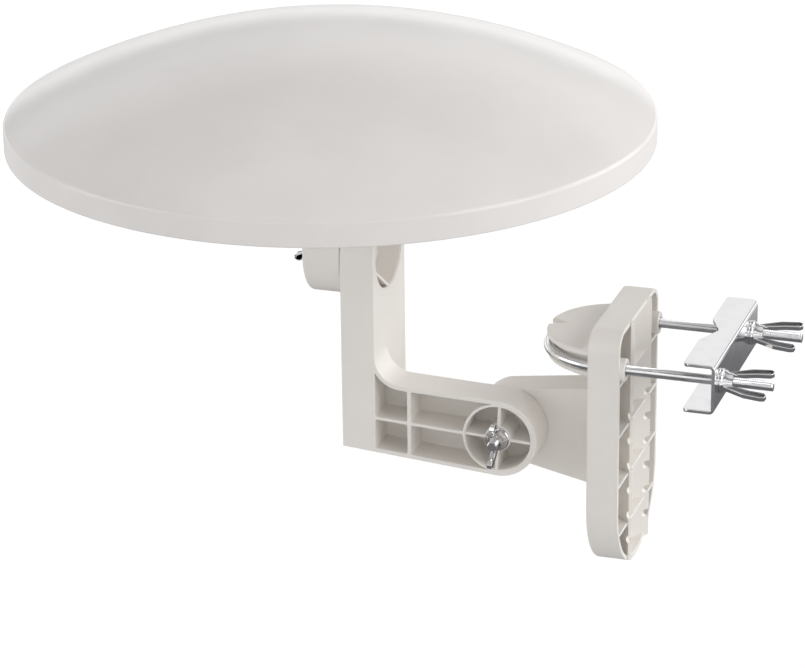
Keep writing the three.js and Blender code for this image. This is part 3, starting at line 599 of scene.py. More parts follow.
class LowerLimb:
    """The lower limb seen along Y, at an inset: its two straight sides, fillet and round elbow."""

    def __init__(self, depth):
        self.radius = ELBOW_RADIUS - depth
        self.bottom = (LIMB_BACK_X, LIMB_BOTTOM_Z + depth)
        self.top = (LIMB_FRONT_X, ELBOW.z + ARM_TOP_ABOVE_ELBOW - depth)
        self.bottom_angle = tangent(self.bottom, ELBOW_XZ, self.radius, 1)
        self.top_angle = tangent(self.top, ELBOW_XZ, self.radius, -1)
        self.top_slope = math.tan(math.radians(self.top_angle - 90))
        self.bottom_slope = math.tan(math.radians(self.bottom_angle + 90))
        self.fillet_radius = ARM_FILLET + depth
        centre_z = self.top[1] + self.top_slope * ARM_FILLET + self.fillet_radius
        self.fillet = (LIMB_FRONT_X + ARM_FILLET, centre_z)
        self.fillet_end = math.degrees(math.acos(ARM_FILLET / self.fillet_radius)) - 180

    def top_z(self, x):
        return self.top[1] + self.top_slope * (x - self.top[0])

    def bottom_z(self, x):
        return self.bottom[1] + self.bottom_slope * (x - self.bottom[0])

    def outline(self, start_x):
        """The whole limb from a place inside the upright limb to the elbow."""
        fillet = arc(self.fillet, self.fillet_radius, -90, self.fillet_end, 16)
        return tidy_outline(
            [(start_x, self.bottom_z(start_x))]
            + arc(ELBOW_XZ, self.radius, self.bottom_angle, self.top_angle, 48)
            + fillet
            + [(start_x, fillet[-1][1])]
        )


def ring_crossing(height, radius, above):
    """The angle on the elbow's ring, on its left half, where a line z = height(x) crosses it."""
    low, high = (90, 180) if above else (180, 270)
    for _ in range(40):
        middle = (low + high) / 2
        x, z = on_circle(ELBOW_XZ, radius, middle)
        low, high = (middle, high) if z > height(x) else (low, middle)
    return (low + high) / 2


def limb_cells():
    """The four open cells of the lower limb, parted by the spine and one upright rib."""
    limb = LowerLimb(WALL)
    start, left, right = LIMB_FRONT_X, UPRIGHT_RIB_X - THICK_RIB / 2, UPRIGHT_RIB_X + THICK_RIB / 2
    ring = ELBOW_POCKET_RADIUS + THICK_RIB * 0.75

    def over(x):
        return SPINE_Z(x) + RIB / 2

    def under(x):
        return SPINE_Z(x) - RIB / 2

    fillet = [p for p in arc(limb.fillet, limb.fillet_radius, limb.fillet_end, -90, 12) if p[0] < left - 1]
    upper_left = [(start, over(start))] + fillet + [(left, limb.top_z(left)), (left, over(left))]
    lower_left = [(x, limb.bottom_z(x)) for x in (start, left)] + [(x, under(x)) for x in (left, start)]
    top, spine_top = [ring_crossing(height, ring, True) for height in (limb.top_z, over)]
    foot, spine_foot = [ring_crossing(height, ring, False) for height in (limb.bottom_z, under)]
    upper_right = [(right, over(right)), (right, limb.top_z(right))] + arc(ELBOW_XZ, ring, top, spine_top, 14)
    lower_right = [(right, limb.bottom_z(right)), (right, under(right))]
    lower_right += arc(ELBOW_XZ, ring, spine_foot, foot, 14)
    return [tidy_outline(cell) for cell in (upper_left, lower_left, upper_right, lower_right)]


def quadrants(centre, inner, outer, lean):
    """The four spaces between a boss and a ring, with a cross of ribs between them."""
    in_gap, out_gap = [math.degrees(math.asin(RIB / 2 / radius)) for radius in (inner, outer)]
    shapes = []
    for start in (lean, lean + 90, lean + 180, lean + 270):
        outer_arc = arc(centre, outer, start + out_gap, start + 90 - out_gap, 16)
        shapes.append(outer_arc + arc(centre, inner, start + 90 - in_gap, start + in_gap, 8))
    return shapes


def tilt_cells():
    """The round pocket at the tilt bolt, parted by a slanting rib on each side of the bolt."""
    circle = arc((0, 0), TILT_POCKET_RADIUS, 0, 360, 72)[:-1]
    near, far = TILT_RIB_DISTANCE - RIB / 2, TILT_RIB_DISTANCE + RIB / 2
    cells = [
        clip(clip(circle, 0, near, False), 0, -near, True),
        clip(circle, 0, far, True),
        clip(circle, 0, -far, False),
    ]
    cosine, sine = math.cos(TILT_RIB_LEAN), math.sin(TILT_RIB_LEAN)
    return [[(TILT.y + a * cosine - b * sine, TILT.z + a * sine + b * cosine) for a, b in tidy_outline(cell)]
            for cell in cells]


def back_cells():
    """The cells on the back of the upright limb, two in each row."""
    top = TILT.z - LIMB_HALF - WALL
    step = (top - LIMB_BOTTOM_Z) / BACK_ROWS
    cells = []
    for row in range(BACK_ROWS):
        low = LIMB_BOTTOM_Z + row * step + (RIB / 2 if row else WALL)
        high = LIMB_BOTTOM_Z + (row + 1) * step - (RIB / 2 if row < BACK_ROWS - 1 else 0)
        for side in (-1, 1):
            near, far = LIMB_Y + side * RIB / 2, LIMB_Y + side * (LIMB_HALF - WALL)
            cells.append(round_corners([(near, low), (far, low), (far, high), (near, high)], BACK_CORNER))
    return cells


def build_arm():
    upright = prism(round_end(LIMB_BOTTOM_Z), "x", LIMB_BACK_X, LIMB_FRONT_X, EDGE)
    lower = prism(LowerLimb(0).outline(LIMB_BACK_X + 1.5), "y", ARM_NEAR_Y, ARM_FAR_Y, EDGE)
    arm = join(upright, lower)
    floor = ARM_FAR_Y - WALL
    tools = [pocket(round_corners(cell, CELL_CORNER, 3), "y", floor, ARM_NEAR_Y) for cell in limb_cells()]
    lean = math.degrees(math.atan2(ELBOW.z - SPINE_Z(LIMB_FRONT_X), ELBOW.x - LIMB_FRONT_X))
    rib_y = ARM_NEAR_Y + RIBS_BELOW_FACE
    tools += [pocket(cell, "y", floor, rib_y, EDGE, 0.6)
              for cell in quadrants(ELBOW_XZ, BOSS_RADIUS, ELBOW_POCKET_RADIUS, lean)]
    elbow_rim = arc(ELBOW_XZ, ELBOW_POCKET_RADIUS, 0, 360, 72)[:-1]
    tools.append(pocket(elbow_rim, "y", rib_y, ARM_NEAR_Y, 0.35, 0.05))
    tilt_floor = LIMB_FRONT_X - TILT_POCKET_DEPTH
    rib_x = LIMB_FRONT_X - RIBS_BELOW_FACE
    tools += [pocket(cell, "x", tilt_floor, rib_x, 0.35, 0.3) for cell in tilt_cells()]
    tilt_rim = arc(TILT_YZ, TILT_POCKET_RADIUS, 0, 360, 96)[:-1]
    tools.append(pocket(tilt_rim, "x", rib_x, LIMB_FRONT_X, 0.35, 0.05))
    tools += [pocket(cell, "x", LIMB_FRONT_X - WALL, LIMB_BACK_X) for cell in back_cells()]
    tools.append(bar("y", ARM_NEAR_Y - 1, ARM_FAR_Y + 1, BOLT_HOLE, ELBOW_XZ))
    tools.append(bar("x", LIMB_BACK_X - 1, LIMB_FRONT_X, BOLT_HOLE, TILT_YZ))
    stand_for(cut(arm, *tools), "l_arm")


# ---- Clamp ----

BLOCK_HALF = CLAMP_HIGH.y
BLOCK_TOP_Z = CLAMP_HIGH.z
BLOCK_BOTTOM_Z = CLAMP_LOW.z


def block_outline(depth):
    """The clamp block seen along X: rounded shoulders and a half-round foot."""
    half, top, corner = BLOCK_HALF - depth, BLOCK_TOP_Z - depth, BLOCK_CORNER - depth
    foot_z = BLOCK_BOTTOM_Z + BLOCK_HALF
    return tidy_outline(
        arc((half - corner, top - corner), corner, 0, 90, 12)
        + arc((corner - half, top - corner), corner, 90, 180, 12)
        + arc((0, foot_z), half, 180, 360, 64)
    )


def groove_walls():
    """The two flanks of the V groove, which carry the teeth."""
    across = WALL / math.sqrt(2)
    tip_y = GROOVE_FLOOR_HALF + TOOTH_TIP_X
    root_y = GROOVE_FLOOR_HALF + WALL * (math.sqrt(2) - 1)
    half = [(BLOCK_BACK_X + 1, root_y), (-WALL, root_y), (TOOTH_TIP_X - across, tip_y + across),
            (TOOTH_TIP_X, tip_y), (0, GROOVE_FLOOR_HALF)]
    other = [(x, -y) for x, y in reversed(half)]
    return prism(round_corners(half + other, 0.4, 3), "z", BLOCK_BOTTOM_Z, BLOCK_TOP_Z)


def build_block():
    block = prism(block_outline(0), "x", BLOCK_BACK_X, BLOCK_FRONT_X, 1.6, EDGE)
    inner = block_outline(WALL)
    levels = [BLOCK_TOP_Z]
    levels += [BLOCK_RIB_TOP_Z - i * BLOCK_RIB_PITCH for i in range(BLOCK_RIB_COUNT)]
    levels.append(BLOCK_BOTTOM_Z)
    cells = []
    for high, low in zip(levels, levels[1:]):
        band = clip(clip(inner, 1, high - RIB / 2, False), 1, low + RIB / 2, True)
        cells.append(pocket(tidy_outline(band), "x", BLOCK_BACK_X + WALL, BLOCK_FRONT_X))
    block = cut(block, *cells)
    envelope = prism(block_outline(0.02), "x", BLOCK_BACK_X + 1, TOOTH_TIP_X + 1)
    walls = common(groove_walls(), envelope)
    bosses = [bar("x", BLOCK_BACK_X + 1, CLAMP_HIGH.x, LEG_BOSS_RADIUS, leg, 0.5) for leg in LEGS_YZ]
    return join(block, walls, *bosses)


def build_saddle():
    """The half-round saddle that holds the U-bolt's bend between a flange and a shallow foot."""
    slot = ROD_RADIUS + GAP
    bed = BEND_RADIUS - slot
    rim = BEND_RADIUS + ROD_RADIUS - SADDLE_RIM_INSIDE_ROD
    flange_z = SADDLE_TOP_Z - SADDLE_FLANGE
    profile = [(0, SADDLE_FOOT_Z)]
    profile += arc((SADDLE_FOOT_RADIUS - 2.5, SADDLE_FOOT_Z + 2.5), 2.5, -90, -45, 4)
    profile += arc((rim - 2.2, -slot - 1.6), 1.6, -45, 60, 6)
    profile += [(bed, -slot), (bed, flange_z), (rim - 0.6, flange_z), (rim, flange_z + 0.6)]
    profile += arc((rim - 1.8, SADDLE_TOP_Z - 1.8), 1.8, 0, 90, 6)
    profile += [(0, SADDLE_TOP_Z)]
    saddle = lathe(profile, (BEND_X, 0), 128)
    edge_x = BLOCK_BACK_X + 1.5
    keep = prism([(-100, -60), (edge_x, -60), (edge_x, 60), (-100, 60)], "z", -40, 20)
    rim_x = BEND_X - rim
    ends = [(rim_x - 2, side * SADDLE_NOTCH_HALF) for side in (-1, 1)]
    notch = round_corners([ends[0], (rim_x + SADDLE_NOTCH_DEPTH, 0), ends[1]], 0.8)
    tool = pocket(notch, "z", slot, SADDLE_TOP_Z, 0.5, 0.1)
    return join(cut(common(saddle, keep), tool), saddle_fillet(rim))


def saddle_fillet(rim):
    """The hollow fillet where the saddle's top runs into the back of the block."""
    corner_x, corner_z = BLOCK_BACK_X - SADDLE_FILLET, SADDLE_TOP_Z + SADDLE_FILLET
    curve = arc((corner_x, corner_z), SADDLE_FILLET, -90, 0, 10)
    behind = BLOCK_BACK_X + 1
    outline = [(behind, SADDLE_TOP_Z - 1), (corner_x, SADDLE_TOP_Z - 1)] + curve + [(behind, corner_z)]
    fillet = prism(outline, "y", -rim, rim)
    return common(fillet, bar("z", 0, 30, rim - 0.8, (BEND_X, 0), 0, 128))


def knuckle_lines(depth):
    """The knuckle's round end and its two flanks, at an inset, seen along Y."""
    radius = KNUCKLE_RADIUS - depth
    top = (BLOCK_BACK_X + 1.5, KNUCKLE_TOP_Z - depth)
    bottom = (BLOCK_BACK_X + 1.5, KNUCKLE_BOTTOM_Z + depth)
    top_angle = tangent(top, ELBOW_XZ, radius, 1)
    bottom_angle = tangent(bottom, ELBOW_XZ, radius, -1)
    touch = [on_circle(ELBOW_XZ, radius, angle) for angle in (top_angle, bottom_angle)]
    return top, bottom, top_angle, bottom_angle, touch


def knuckle_cells():
    """The open cells on the knuckle's far side, between the elbow's ring and the block."""
    top, bottom, _, _, (top_touch, bottom_touch) = knuckle_lines(WALL)
    roof, ground = line(top_touch, top), line(bottom_touch, bottom)
    ring = KNUCKLE_RADIUS - WALL + RIB
    half = RIB / 2
    over, under = ELBOW.z + half, ELBOW.z - half
    first, second = KNUCKLE_RIBS_X
    cells = []
    for left, right in ((first + half, second - half), (second + half, BLOCK_BACK_X)):
        cells.append([(left, over), (right, over), (right, roof(right)), (left, roof(left))])
        cells.append([(left, ground(left)), (right, ground(right)), (right, under), (left, under)])
    right = first - half
    low = math.degrees(math.asin(half / ring))
    upper_arc = arc(ELBOW_XZ, ring, KNUCKLE_ROOF_MEETS_RING, low, 12)
    lower_arc = arc(ELBOW_XZ, ring, -low, KNUCKLE_FOOT_MEETS_RING, 12)
    cells.append([(right, over), (right, roof(right))] + upper_arc)
    cells.append([(right, under)] + lower_arc + [(right, ground(right))])
    return cells


def build_knuckle():
    top, bottom, top_angle, bottom_angle, _ = knuckle_lines(0)
    outline = tidy_outline([bottom, top] + arc(ELBOW_XZ, KNUCKLE_RADIUS, top_angle, bottom_angle + 360, 64))
    body = prism(outline, "y", -KNUCKLE_HALF, KNUCKLE_HALF, EDGE * 2)
    floor = WALL - KNUCKLE_HALF
    tools = [pocket(round_corners(cell, CELL_CORNER, 3), "y", floor, KNUCKLE_HALF)
             for cell in knuckle_cells()]
    boss = BOSS_RADIUS + 1.5
    tools += [pocket(cell, "y", floor, KNUCKLE_HALF, EDGE, 0.6)
              for cell in quadrants(ELBOW_XZ, boss, KNUCKLE_RADIUS - WALL, 0)]
    return cut(body, *tools)


def hexagon(across, centre):
    return arc(centre, across / math.sqrt(3), 0, 360, 6)[:-1]


def build_clamp():
    clamp = join(build_block(), build_saddle(), build_knuckle())
    notches = [(TOOTH_TIP_X - NOTCH_CENTRE_INSIDE, NOTCH_TOP_Z - i * NOTCH_PITCH) for i in range(NOTCH_COUNT)]
    tools = [bar("y", -NOTCH_HALF_LENGTH, NOTCH_HALF_LENGTH, NOTCH_RADIUS, notch) for notch in notches]
    tools += [bar("x", BLOCK_BACK_X - 1, CLAMP_HIGH.x + 1, LEG_HOLE, leg) for leg in LEGS_YZ]
    seat = KNUCKLE_HALF - HEX_HEIGHT - GAP
    tools.append(pocket(hexagon(HEX_ACROSS + 2 * GAP, ELBOW_XZ), "y", seat, KNUCKLE_HALF, 0.3, 0.1))
    tools.append(bar("y", -KNUCKLE_HALF - 1, KNUCKLE_HALF + 1, BOLT_HOLE, ELBOW_XZ))
    stand_for(cut(clamp, *tools), "clamp_body")


# ---- Rods, bolts and nuts ----


def screw_ring(centre, side, up, distance, depth, radius=ROD_RADIUS, pitch=THREAD_PITCH, segments=24):
    """A ring round a rod at a distance along its thread. Without depth the rod is plain."""
    ring = []
    for i in range(segments):
        turn = i / segments
        ray = Vector(side) * math.cos(2 * math.pi * turn) + Vector(up) * math.sin(2 * math.pi * turn)
        phase = (distance / pitch - turn) % 1
        ring.append(Vector(centre) + ray * (radius - depth * (1 - abs(2 * phase - 1))))
    return ring


def scaled_ring(ring, share):
    middle = sum(ring, Vector()) / len(ring)
    return [middle + (p - middle) * share for p in ring]


def threaded_run(start, along, side, up, length):
    """Rings along a threaded length, with a chamfered end."""
    steps = int(length / THREAD_PITCH * 5)
    rings = []
    for distance in (length * i / steps for i in range(steps + 1)):
        centre = Vector(start) + Vector(along) * distance
        rings.append(screw_ring(centre, side, up, distance, THREAD_DEPTH))
    rings[-1] = scaled_ring(rings[-1], 0.84)
    rings[-4] = scaled_ring(rings[-4], 0.97)
    return rings


def build_u_bolt():
    """One rod: the near leg from its tip, the bend round the saddle and the far leg to its tip."""
    start = BLOCK_FRONT_X - 2
    length = ROD_HIGH.x - start
    up = (0, 0, 1)
    rings = threaded_run((start, -BEND_RADIUS, 0), (1, 0, 0), (0, -1, 0), up, length)
    rings.reverse()
    for i in range(65):
        angle = math.radians(-90 - 180 * i / 64)
        outward = Vector((math.cos(angle), math.sin(angle), 0))
        rings.append(screw_ring(Vector((BEND_X, 0, 0)) + outward * BEND_RADIUS, outward, up, 0, 0))
    rings += threaded_run((start, BEND_RADIUS, 0), (1, 0, 0), (0, 1, 0), up, length)
    stand_for(loft(rings), "u_bolt")


def bolt(length):
    """A hex bolt along +Z with its head's underside at the origin and thread on its far end."""
    plain = length - BOLT_THREAD_LENGTH
    head = common(
        prism(hexagon(HEX_ACROSS, (0, 0)), "z", -HEX_HEIGHT, 0, 0.2),
        lathe([(0, -HEX_HEIGHT), (4.6, -HEX_HEIGHT), (5.9, -HEX_HEIGHT + 0.9), (5.9, 0.1), (0, 0.1)]),
    )
    side, up = (1, 0, 0), (0, 1, 0)
    shank = [screw_ring((0, 0, z), side, up, 0, 0) for z in (-0.5, plain - 0.6)]
    return join(head, loft(shank + threaded_run((0, 0, plain), (0, 0, 1), side, up, BOLT_THREAD_LENGTH)))


def washer(node, direction):
    """A washer with rolled rims, a touch thicker than its CAD node so that it meets its neighbours."""
    low, high = box_mm(node)
    centre = (low + high) / 2
    way = Vector(direction)
    thick = abs((high - low).dot(way)) + 2 * WASHER_CLOSES
    radius = max(high - low) / 2
    hole = BOLT_HOLE
    profile = [(hole, 0.15), (hole + 0.15, 0), (radius - 0.2, 0), (radius, 0.25)]
    profile += [(radius, thick - 0.3), (radius - 0.3, thick), (hole + 0.2, thick), (hole, thick - 0.2)]
    ring = lathe(profile, (0, 0), 64)
    stand_for(moved(ring, aimed(centre - way * thick / 2, direction)), node)


def wing_outline(side, reach):
    """One wing seen flat: its root in the hub, a flared outer edge and a blunt tip."""
    tip, height = WING_SPREAD, WING_HUB_HEIGHT
    edge = [
        (WING_ROOT, 0.8), (WING_RIM_START, 0.9), (tip - 1.4, reach * 0.5), (tip, reach - 3),
        (tip - 0.6, reach - 0.6), (tip - 3.2, reach), (tip - 5, reach - 1.8),
        (tip - 5.8, reach * 0.62), (WING_ROOT + 1.4, height + 1.2), (WING_ROOT, height - 0.4),
    ]
    return round_corners([(side * x, z) for x, z in edge], 0.9, 4)


def wing_nut(reach):
    """A wing nut along +Z with its wings along X: a flared hub and two pressed, hollowed wings."""
    bore, height = ROD_RADIUS + 0.1, WING_HUB_HEIGHT
    hub = [(bore + 0.4, 0), (6.2, 0), (6.4, 0.3), (6.3, 1.2), (5.1, 2.6), (4.9, height - 0.8)]
    hub += [(4.5, height), (bore + 0.4, height), (bore, height - 0.4), (bore, 0.4)]
    nut = lathe(hub, (0, 0), 64)
    wings = []
    for side in (1, -1):
        outline = wing_outline(side, reach)
        blade = prism(outline, "y", -WING_HALF_THICK, WING_HALF_THICK, 0.3)
        start, end = side * WING_RIM_START, side * 40
        beyond = prism([(start, -5), (end, -5), (end, 60), (start, 60)], "y", -3, 3)
        face = inset(outline, WING_RIM)
        for way in (-1, 1):
            hollow = pocket(face, "y", way * WING_WEB, way * WING_HALF_THICK, 0.2, 0.2)
            blade = cut(blade, common(hollow, linked(beyond.name, beyond.data)))
        bpy.data.objects.remove(beyond)
        wings.append(blade)
    return join(nut, *wings)


def place_nut(node, joint, direction, spin):
    low, high = box_mm(node)
    way = Vector(direction)
    ends = [low.dot(way), high.dot(way)]
    reach = abs(ends[1] - ends[0])
    axis = joint_mm(joint)
    face = axis + way * (min(ends) - axis.dot(way))
    stand_for(moved(wing_nut(reach), aimed(face, direction, spin)), node)


def place_bolt(node, joint, axis, direction):
    """A hex bolt on a joint's axis, with its head at the high end of the node's box."""
    low, high = box_mm(node)
    head_face = joint_mm(joint)
    head_face[axis] = high[axis] - HEX_HEIGHT
    shank = bolt(high[axis] - low[axis] - HEX_HEIGHT)
    stand_for(moved(shank, aimed(head_face, direction, BOLT_SPIN)), node)


def build_fasteners():
    place_bolt("elbow_bolt", "arm_tilt", 1, (0, -1, 0))
    place_bolt("tilt_bolt", "disc_tilt", 0, (-1, 0, 0))
    for ring, nut, joint, direction, spin in (
        ("elbow_washer", "elbow_wing_nut", "elbow_nut_spin", (0, -1, 0), ELBOW_NUT_SPIN),
        ("tilt_washer", "tilt_wing_nut", "tilt_nut_spin", (-1, 0, 0), TILT_NUT_SPIN),
        ("plate_washer_near", "plate_wing_nut_near", "near_nut_spin", (1, 0, 0), PLATE_NUT_SPIN),
        ("plate_washer_far", "plate_wing_nut_far", "far_nut_spin", (1, 0, 0), PLATE_NUT_SPIN),
    ):
        washer(ring, direction)
        place_nut(nut, joint, direction, spin)


def pan_screw(node, head, shank):
    """A pan-head screw that points up, with a cross recess in the underside of its head."""
    low, high = box_mm(node)
    centre = (low + high) / 2
    radius, length = (high.x - low.x) / 2, high.z - low.z
    profile = [(radius * math.sin(a), head * (1 - math.cos(a)) * 0.8) for a in quarter(8)]
    profile += [(radius, head), (shank, head), (shank, length - 0.6), (shank * 0.5, length), (0, length)]
    screw = lathe(profile, (0, 0), 48)
    arm, half = radius * 0.6, radius * 0.11
    recess = [prism([(-a, -b), (a, -b), (a, b), (-a, b)], "z", -1, head * 0.75)
              for a, b in ((arm, half), (half, arm))]
    screw = cut(screw, *recess)
    stand_for(moved(screw, aimed((centre.x, centre.y, low.z), (0, 0, 1))), node)


# ---- V plate ----


def build_plate():
    """A channel bent from sheet, with a V in both flanges for the mast."""
    low, high = box_mm("clamp_plate")
    corner = (high.x - PLATE_BEND, high.z - PLATE_BEND)
    outer = [(low.x, high.z)] + arc(corner, PLATE_BEND, 90, 0, 8)
    inner = arc(corner, PLATE_BEND - PLATE_SHEET, 0, 90, 8) + [(low.x, high.z - PLATE_SHEET)]
    section = outer + [(x, -z) for x, z in reversed(inner + outer)] + inner
    channel = prism(tidy_outline(section), "y", low.y, high.y, 0.35)
    mast_x = MAST_RADIUS * math.sqrt(2) - GROOVE_FLOOR_HALF
    apex_x = mast_x + MAST_RADIUS * math.hypot(1, PLATE_SLOPE)
    mouth_half = (apex_x - low.x) / PLATE_SLOPE
    beyond = high.x + PLATE_CORNER + 1
    flange = [(beyond, low.y), (beyond, high.y), (low.x, high.y), (low.x, mouth_half)]
    flange += [(apex_x, 0), (low.x, -mouth_half), (low.x, low.y)]
    channel = common(channel, prism(round_corners(flange, PLATE_CORNER, 6), "z", low.z - 1, high.z + 1))
    holes = [bar("x", high.x - PLATE_SHEET - 2, high.x + 1, PLATE_HOLE, leg) for leg in LEGS_YZ]
    stand_for(cut(channel, *holes), "clamp_plate")


# ---- Disc ----


def dome_z(radius, drop=0.0):
    return RIM_Z + SKIRT + DOME_RISE * (1 - (radius / DISC_RADIUS) ** 2) - drop


def build_radome():
    join_radius = DISC_RADIUS - LIP * 1.9
    outside = [(join_radius * i / 40, dome_z(join_radius * i / 40)) for i in range(41)]
    lip_centre = (DISC_RADIUS - LIP, RIM_Z + SKIRT - LIP + 0.8)
    lip = arc(lip_centre, LIP, 68, 0, 10)
    foot = arc((DISC_RADIUS - 0.9, RIM_Z + 0.9), 0.9, 0, -90, 4)
    inner = DISC_RADIUS - SHELL
    inside = [(inner, RIM_Z), (inner, RIM_Z + SKIRT - 3)]
    inside += [(r, dome_z(r, SHELL)) for r in ((DISC_RADIUS - SKIRT) * (1 - i / 24) for i in range(25))]
    radome = lathe(outside + lip + foot + inside, DISC_CENTRE[:2], 256)
    stand_for(radome, "radome_top")


def build_cover():
    low, high = box_mm("bottom_cover")
    belly, flat = low.z, BELLY_FLAT_RADIUS
    edge = (high.x - low.x) / 2
    rim_z = RIM_Z + COVER_INSIDE_RIM
    under = [(0, belly), (flat, belly)]
    under += [(flat + 2 + 34 * t / 6, belly + BELLY_RISE * (t / 6) ** 1.4) for t in range(1, 7)]
    under += [(150, rim_z - 2.5), (158, rim_z - 0.9), (164, rim_z), (edge - 0.5, rim_z), (edge, rim_z + 0.5)]
    over = [(r, z + SHELL) for r, z in reversed(under[:-1])]
    cover = lathe(under + over, DISC_CENTRE[:2], 192)
    holes = screw_holes("cover_screw", RIM_SCREWS, RIM_Z - 5, RIM_Z + 10, RIM_SCREW_SHANK + 0.3)
    holes += screw_holes("hub_screw", HUB_SCREWS, belly - 1, belly + SHELL + 1, HUB_SCREW_HOLE)
    socket = middle_of("f_connector")
    holes.append(bar("z", belly - 1, belly + SHELL + 1, CONNECTOR_RADIUS + 0.6, socket[:2]))
    stand_for(cut(cover, *holes), "bottom_cover")
    for i in range(RIM_SCREWS):
        pan_screw(f"cover_screw_{i + 1}", RIM_SCREW_HEAD, RIM_SCREW_SHANK)


def screw_holes(name, count, start, stop, radius):
    """A hole at each screw of a set."""
    return [bar("z", start, stop, radius, middle_of(f"{name}_{i + 1}")[:2], 0, 24) for i in range(count)]


def build_hub():
    low, high = box_mm("hub_bracket")
    top = high.z
    flange = bar("z", top - HUB_FLANGE, top, (high.y - low.y) / 2, DISC_CENTRE[:2], 0.8, 128)
    outline = [(TILT.y + LIMB_HALF, top - 2), (TILT.y - LIMB_HALF, top - 2)]
    outline += arc(TILT_YZ, LIMB_HALF, 180, 360, 48)
    lug = prism(tidy_outline(outline), "x", LUG_BACK_X, LIMB_BACK_X - GAP, HUB_EDGE)
    bore = bar("x", LUG_BACK_X - 3, LIMB_BACK_X + 1, BOLT_HOLE, TILT_YZ)
    holes = screw_holes("hub_screw", HUB_SCREWS, top - HUB_FLANGE - 1, top + 1, HUB_SCREW_HOLE)
    stand_for(cut(join(flange, lug), bore, *holes), "hub_bracket")
    for i in range(HUB_SCREWS):
        pan_screw(f"hub_screw_{i + 1}", HUB_SCREW_HEAD, HUB_SCREW_SHANK)


def build_connector():
    """The threaded coax socket under the disc, and its thin hex nut."""
    low, high = box_mm("f_connector")
    centre = middle_of("f_connector")[:2]
    length = DISC_BELLY_Z + BELLY_RISE - low.z
    rings = []
    for distance in (length * i / CONNECTOR_STEPS for i in range(CONNECTOR_STEPS + 1)):
        place = (*centre, low.z + distance)
        rings.append(screw_ring(place, (1, 0, 0), (0, 1, 0), distance, *CONNECTOR_THREAD, 48))
    board_z = box_mm("amplifier_board")[0].z
    flange = bar("z", DISC_BELLY_Z + SHELL + GAP, board_z - GAP, CONNECTOR_FLANGE, centre, 0.2)
    pin = bar("z", board_z - 1, high.z, CONNECTOR_PIN, centre, 0.2, 24)
    socket = bar("z", low.z - 1, low.z + 9, CONNECTOR_SOCKET, centre)
    stand_for(cut(join(loft(rings), flange, pin), socket), "f_connector")
    foot, top = [corner.z for corner in box_mm("f_connector_nut")]
    flat, tip = CONNECTOR_NUT_ACROSS / 2, CONNECTOR_NUT_ACROSS / 2 + 1.1
    chamfer = lathe([(0, foot), (flat, foot), (tip, foot + 0.6), (tip, top + 1), (0, top + 1)], centre, 64)
    nut = common(prism(hexagon(CONNECTOR_NUT_ACROSS, centre), "z", foot, top, 0.15), chamfer)
    stand_for(cut(nut, bar("z", foot - 1, top + 1, CONNECTOR_RADIUS + GAP, centre)), "f_connector_nut")


# ---- The carried-over CAD nodes ----


def dress_cad_nodes():
    for name, obj in frame["nodes"].items():
        if obj.hide_render:
            continue
        obj.data.materials.clear()
        obj.data.materials.append(MATERIALS[SLOT_OF[name]])


# ---- Stage ----

CAMERA_AZIMUTH = 18.5
CAMERA_ELEVATION = 21.735
CAMERA_DISTANCE = 2.0
CAMERA_ROLL = 0.68
CAMERA_LENS = 153.8
CAMERA_AIM = Vector((0.0372, 0.0125, -0.1219))  # metres from the middle of the disc's rim
ROOM_LIGHT = [(0, 1), (0.35, 0.55), (1, 0.5)]  # height of the direction, brightness
ROOM_STRIPS = [
    (0, 1.5), (0.09, 1.5), (0.12, 0.16), (0.16, 0.16), (0.24, 1), (0.5, 1), (0.6, 0.25), (0.75, 0.25),
    (0.9, 0.8), (1, 0.8),
]
SUN_WIDTH = math.radians(40)
FLOOR_Z = -650
FLOOR_HALF = 9000
FLOOR_GLOW = 0.35
MIRRORED_FLOOR_FADES = (1.75, 2.05)  # metres from the middle, dark within and white beyond


def build_camera():
    data = bpy.data.cameras.new("camera")
    camera = linked("camera", data)
    azimuth, elevation = math.radians(CAMERA_AZIMUTH), math.radians(CAMERA_ELEVATION)
    level = Vector((math.sin(azimuth), -math.cos(azimuth), 0))
    back = level * math.cos(elevation) + Vector((0, 0, math.sin(elevation)))
    target = Vector((DISC_CENTRE.x, DISC_CENTRE.y, RIM_Z)) * MM + CAMERA_AIM
    camera.location = target + back * CAMERA_DISTANCE
    camera.rotation_mode = "QUATERNION"
    roll = Matrix.Rotation(math.radians(-CAMERA_ROLL), 4, "Z").to_quaternion()
    camera.rotation_quaternion = (-back).to_track_quat("-Z", "Y") @ roll
    data.lens = CAMERA_LENS
    data.sensor_width = 36
    data.clip_end = 30
    bpy.context.scene.camera = camera


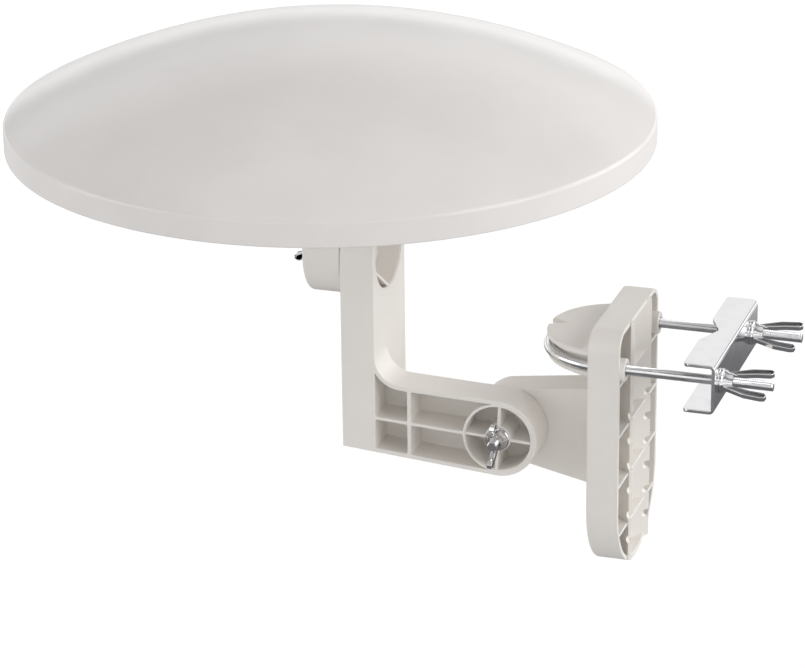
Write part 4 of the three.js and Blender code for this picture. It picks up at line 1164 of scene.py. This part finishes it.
def build_floor():
    """A white floor, clear from below. Its light on the part is greyer, and mirrors see it dark close by."""
    half = FLOOR_HALF
    mesh = bpy.data.meshes.new("floor")
    corners = spread([(-half, -half), (half, -half), (half, half), (-half, half)], "z", FLOOR_Z)
    mesh.from_pydata([Vector(p) * MM for p in corners], [], [(0, 1, 2, 3)])
    floor = linked("floor", mesh)
    shader = Shader("floor_paper")
    path = shader.nodes.new("ShaderNodeLightPath")
    seen = path.outputs["Is Camera Ray"]
    reach = shader.nodes.new("ShaderNodeVectorMath")
    reach.operation = "LENGTH"
    side = shader.nodes.new("ShaderNodeNewGeometry")
    shader.link(side.outputs["Position"], reach.inputs[0])
    far = shader.ramp(reach.outputs["Value"], 0, 1, *MIRRORED_FLOOR_FADES)
    mirrored = shader.blend(far, (0.18, 0.18, 0.19), (1, 1, 1))
    bounced = shader.blend(path.outputs["Is Diffuse Ray"], mirrored, (0.78, 0.78, 0.78))
    paper = shader.blend(seen, bounced, (0.93, 0.93, 0.93))
    shader.link(paper, shader.surface.inputs["Base Color"])
    shader.link(paper, shader.surface.inputs["Emission Color"])
    shader.link(shader.ramp(seen, 0, FLOOR_GLOW, 0, 1), shader.surface.inputs["Emission Strength"])
    shader.set(Roughness=0.9)
    clear = shader.nodes.new("ShaderNodeBsdfTransparent")
    pick = shader.nodes.new("ShaderNodeMixShader")
    shader.link(side.outputs["Backfacing"], pick.inputs["Fac"])
    shader.link(shader.surface.outputs["BSDF"], pick.inputs[1])
    shader.link(clear.outputs["BSDF"], pick.inputs[2])
    shader.link(pick.outputs["Shader"], shader.nodes["Material Output"].inputs["Surface"])
    floor.data.materials.append(shader.material)


def soft_sun(name, towards, strength):
    """A wide, far light that shines from a direction."""
    data = bpy.data.lights.new(name, "SUN")
    data.energy = strength
    data.angle = SUN_WIDTH
    light = linked(name, data)
    light.rotation_mode = "QUATERNION"
    light.rotation_quaternion = (-Vector(towards)).to_track_quat("-Z", "Y")


def brightness_by_height(world, strengths, name):
    """A background whose light depends on the height of the direction it comes from."""
    nodes, links = world.node_tree.nodes, world.node_tree.links
    direction = nodes.new("ShaderNodeTexCoord")
    height = nodes.new("ShaderNodeSeparateXYZ")
    ramp = nodes.new("ShaderNodeValToRGB")
    background = nodes.new("ShaderNodeBackground")
    background.name = name
    links.new(direction.outputs["Generated"], height.inputs["Vector"])
    links.new(height.outputs["Z"], ramp.inputs["Fac"])
    links.new(ramp.outputs["Color"], background.inputs["Color"])
    for stop, (place, value) in zip(ramp.color_ramp.elements, (strengths[0], strengths[-1])):
        stop.position = place
        stop.color = (value, value, value, 1)
    for place, value in strengths[1:-1]:
        ramp.color_ramp.elements.new(place).color = (value, value, value, 1)
    return background


def build_world():
    """A light tent, brightest low down. Shiny surfaces see dark strips between its lamps."""
    world = bpy.data.worlds.new("studio")
    bpy.context.scene.world = world
    world.use_nodes = True
    nodes, links = world.node_tree.nodes, world.node_tree.links
    nodes.remove(nodes["Background"])
    tent = brightness_by_height(world, ROOM_LIGHT, "tent")
    strips = brightness_by_height(world, ROOM_STRIPS, "strips")
    path = nodes.new("ShaderNodeLightPath")
    pick = nodes.new("ShaderNodeMixShader")
    links.new(path.outputs["Is Glossy Ray"], pick.inputs["Fac"])
    links.new(tent.outputs["Background"], pick.inputs[1])
    links.new(strips.outputs["Background"], pick.inputs[2])
    links.new(pick.outputs["Shader"], nodes["World Output"].inputs["Surface"])


def build_stage():
    build_camera()
    build_floor()
    build_world()
    soft_sun("back_light", (0.7, 0.65, 0.4), 0.8)
    soft_sun("side_light", (0.9, -0.2, 0.4), 0.85)
    soft_sun("left_light", (-0.85, -0.45, 0.1), 0.5)
    bpy.context.scene.view_settings.view_transform = "Standard"


# ---- Build ----

build_radome()
build_cover()
build_hub()
build_connector()
build_arm()
build_clamp()
build_u_bolt()
build_plate()
build_fasteners()
dress_cad_nodes()
build_stage()
